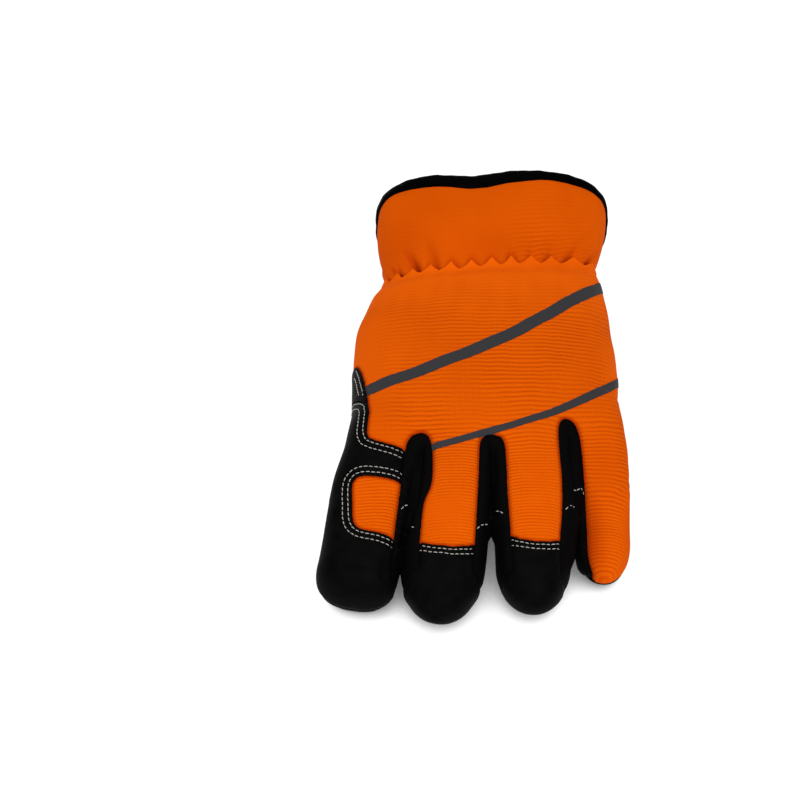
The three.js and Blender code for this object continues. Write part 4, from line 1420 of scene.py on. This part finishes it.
# Polyester sewing thread: off-white, twisted, a faint gloss.
threadWhite = plainGrain("polyesterThreadWhite", thread, {"Roughness": 0.55, "Specular IOR Level": 0.3})
rowPlan = [               # piece, lines it follows and how far from them in mm
    ("guard_stitches", "index_guard", ("guard", "web"), (1.5, 3.9)),
    ("window_stitches", "index_guard", ("window",), (1.4, 3.6)),
    ("middle_cap_stitches", "middle_tip", ("middleTip",), (1.4, 3.3)),
    ("ring_cap_stitches", "ring_tip", ("ringTip",), (1.4, 3.3)),
]
for seed, (name, panelName, lines, levels) in enumerate(rowPlan):
    panel = finalPoints[panelName]
    values = np.minimum.reduce([panel["lines"][line] for line in lines])
    starts, ends = [], []
    for level in levels:
        for path in levelPaths(panel, values, level):
            a, b = stitchRow(smoothed(path), 0.5)
            starts.append(a)
            ends.append(b)
    piece = stitchPiece(name, np.concatenate(starts), np.concatenate(ends), seed + 20)
    finishPiece(piece, threadWhite, "reflective_grey")
    print("  ", name, sum(len(a) for a in starts))

panels = list(finalPoints.values())
offsets = np.cumsum([0] + [len(panel["raised"]) for panel in panels])
topTree = BVHTree.FromPolygons(
    [Vector(point) for point in np.concatenate([panel["raised"] for panel in panels])],
    np.concatenate([panel["faces"] + offset for panel, offset in zip(panels, offsets)]).tolist(),
)


def droppedPath(plan, steps=8):
    # a plan path laid on the glove from above, pulled taut over its creases
    points = []
    for x, y in curved(plan, steps=steps):
        hit = topTree.ray_cast(Vector((x, y, 90)), Vector((0, 0, -1)))[0]
        if hit:
            points.append(hit)
    points = np.array(points)
    ends = np.linspace(points[0, 2], points[-1, 2], len(points))
    points[:, 2] = np.maximum(points[:, 2], ends)
    return smoothed(points, 12)


openRows = {
    "web_stitches": [[(-52.5, 7.3), (-51.2, -0.8), (-50.2, -8.2), (-49.5, -15)],
                     [(-53.1, 3.5), (-52.4, -2.4), (-51.2, -12.5)]],
    "bar_stitches": [[(-34.8, -67.4), (-33.5, -65.6), (-32.3, -64.6), (-31, -64.7)],
                     [(-31, -73.8), (-29.9, -74.9), (-28.7, -76.1)],
                     [(-5.7, -76.2), (-4.6, -75), (-3, -73.7), (-1.2, -72.6)],
                     [(1.2, -67.2), (2.9, -68.2), (4, -69.1), (5.2, -70.5)],
                     [(27.8, -68.4), (29.2, -67.1), (30.8, -66), (32, -65.2)],
                     [(31.2, -60.5), (33, -58.8), (34.7, -57.4), (36.1, -58.1)]],
}
for seed, (name, rows) in enumerate(openRows.items()):
    pairs = [stitchRow(droppedPath(row)) for row in rows]
    starts, ends = (np.concatenate(side) for side in zip(*pairs))
    finishPiece(stitchPiece(name, starts, ends, seed + 40), threadWhite, "reflective_grey")
    print("  ", name, len(starts))

print("setting up the light, the floor and the camera")
floor = {
    "half": 1.2,
    "colour": "#8c8c8c",
    "mottled": "#888888",
    "glow": 0.93,
    "gapShadowGlow": 0.1,     # painted shadow: the share of the glow left in the tight gaps between fingers
    "gapShadowReach": 0.04,
    "gapShadowRange": (0.13, 0.45),
}


def paleFloor(name, settings):
    # matt pale studio sheet, barely mottled, evenly lit and glowing white, with painted grey shadow only in
    # tight gaps, where occlusion turns the glow down
    material, tree, shader = newMaterial(name, {
        "Roughness": 0.9, "Specular IOR Level": 0.1, "Emission Color": (1, 1, 1, 1),
    })
    mottle = noiseNodes(tree, 90.0, 2.0)
    paint(tree, shader, mixedColours(tree, mottle, settings["colour"], settings["mottled"]))
    # painted shadow: occlusion turns the floor's glow down in tight gaps
    near = addNode(tree, "AmbientOcclusion", {"Distance": settings["gapShadowReach"]}, samples=16)
    glow = rangeNode(tree, near.outputs["AO"], *settings["gapShadowRange"],
                     settings["glow"] * settings["gapShadowGlow"], settings["glow"])
    tree.links.new(glow, shader.inputs["Emission Strength"])
    return material


half = floor["half"] / millimetre
corners = np.array([(-half, -half, 0), (half, -half, 0), (half, half, 0), (-half, half, 0)])
floorPiece = newPiece("studio_floor", corners + datum, np.array([(0, 1, 2, 3)]))
floorPiece.data.materials.append(paleFloor("studioFloorPale", floor))

light = {
    "world": 0.36,
    "top": dict(place=(-0.1, 0.1, 1.35), size=1.2, power=7.2),
    "front": dict(place=(0.08, -1.1, 0.95), size=0.8, power=8.4),
}
world = bpy.data.worlds.new("studioWorld")
world.use_nodes = True
world.node_tree.nodes["Background"].inputs["Strength"].default_value = light["world"]
world.node_tree.nodes["Background"].inputs["Color"].default_value = (1, 1, 1, 1)
bpy.context.scene.world = world
target = Vector(toScene((-35, 0, 25)))       # the middle of the photograph
for name in ("top", "front"):
    settings = light[name]
    lamp = bpy.data.lights.new(name + "Softbox", "AREA")
    lamp.shape = "SQUARE"
    lamp.size = settings["size"]
    lamp.energy = settings["power"]
    holder = bpy.data.objects.new(name + "Softbox", lamp)
    holder.location = settings["place"]
    holder.rotation_euler = (target - holder.location).to_track_quat("-Z", "Y").to_euler()
    bpy.context.scene.collection.objects.link(holder)

cameraPlan = {"distance": 1.2, "elevation": math.radians(42), "lens": 135.0, "sensor": 36.0}
lens = bpy.data.cameras.new("photoCamera")
lens.lens = cameraPlan["lens"]
lens.sensor_width = cameraPlan["sensor"]
lens.dof.use_dof = False
lens.clip_end = 10.0
cameraHolder = bpy.data.objects.new("photoCamera", lens)
look = Vector((0, math.cos(cameraPlan["elevation"]), -math.sin(cameraPlan["elevation"])))
cameraHolder.location = target - look * cameraPlan["distance"]
cameraHolder.rotation_euler = look.to_track_quat("-Z", "Y").to_euler()
bpy.context.scene.collection.objects.link(cameraHolder)
bpy.context.scene.camera = cameraHolder
bpy.context.scene.view_settings.view_transform = "Standard"
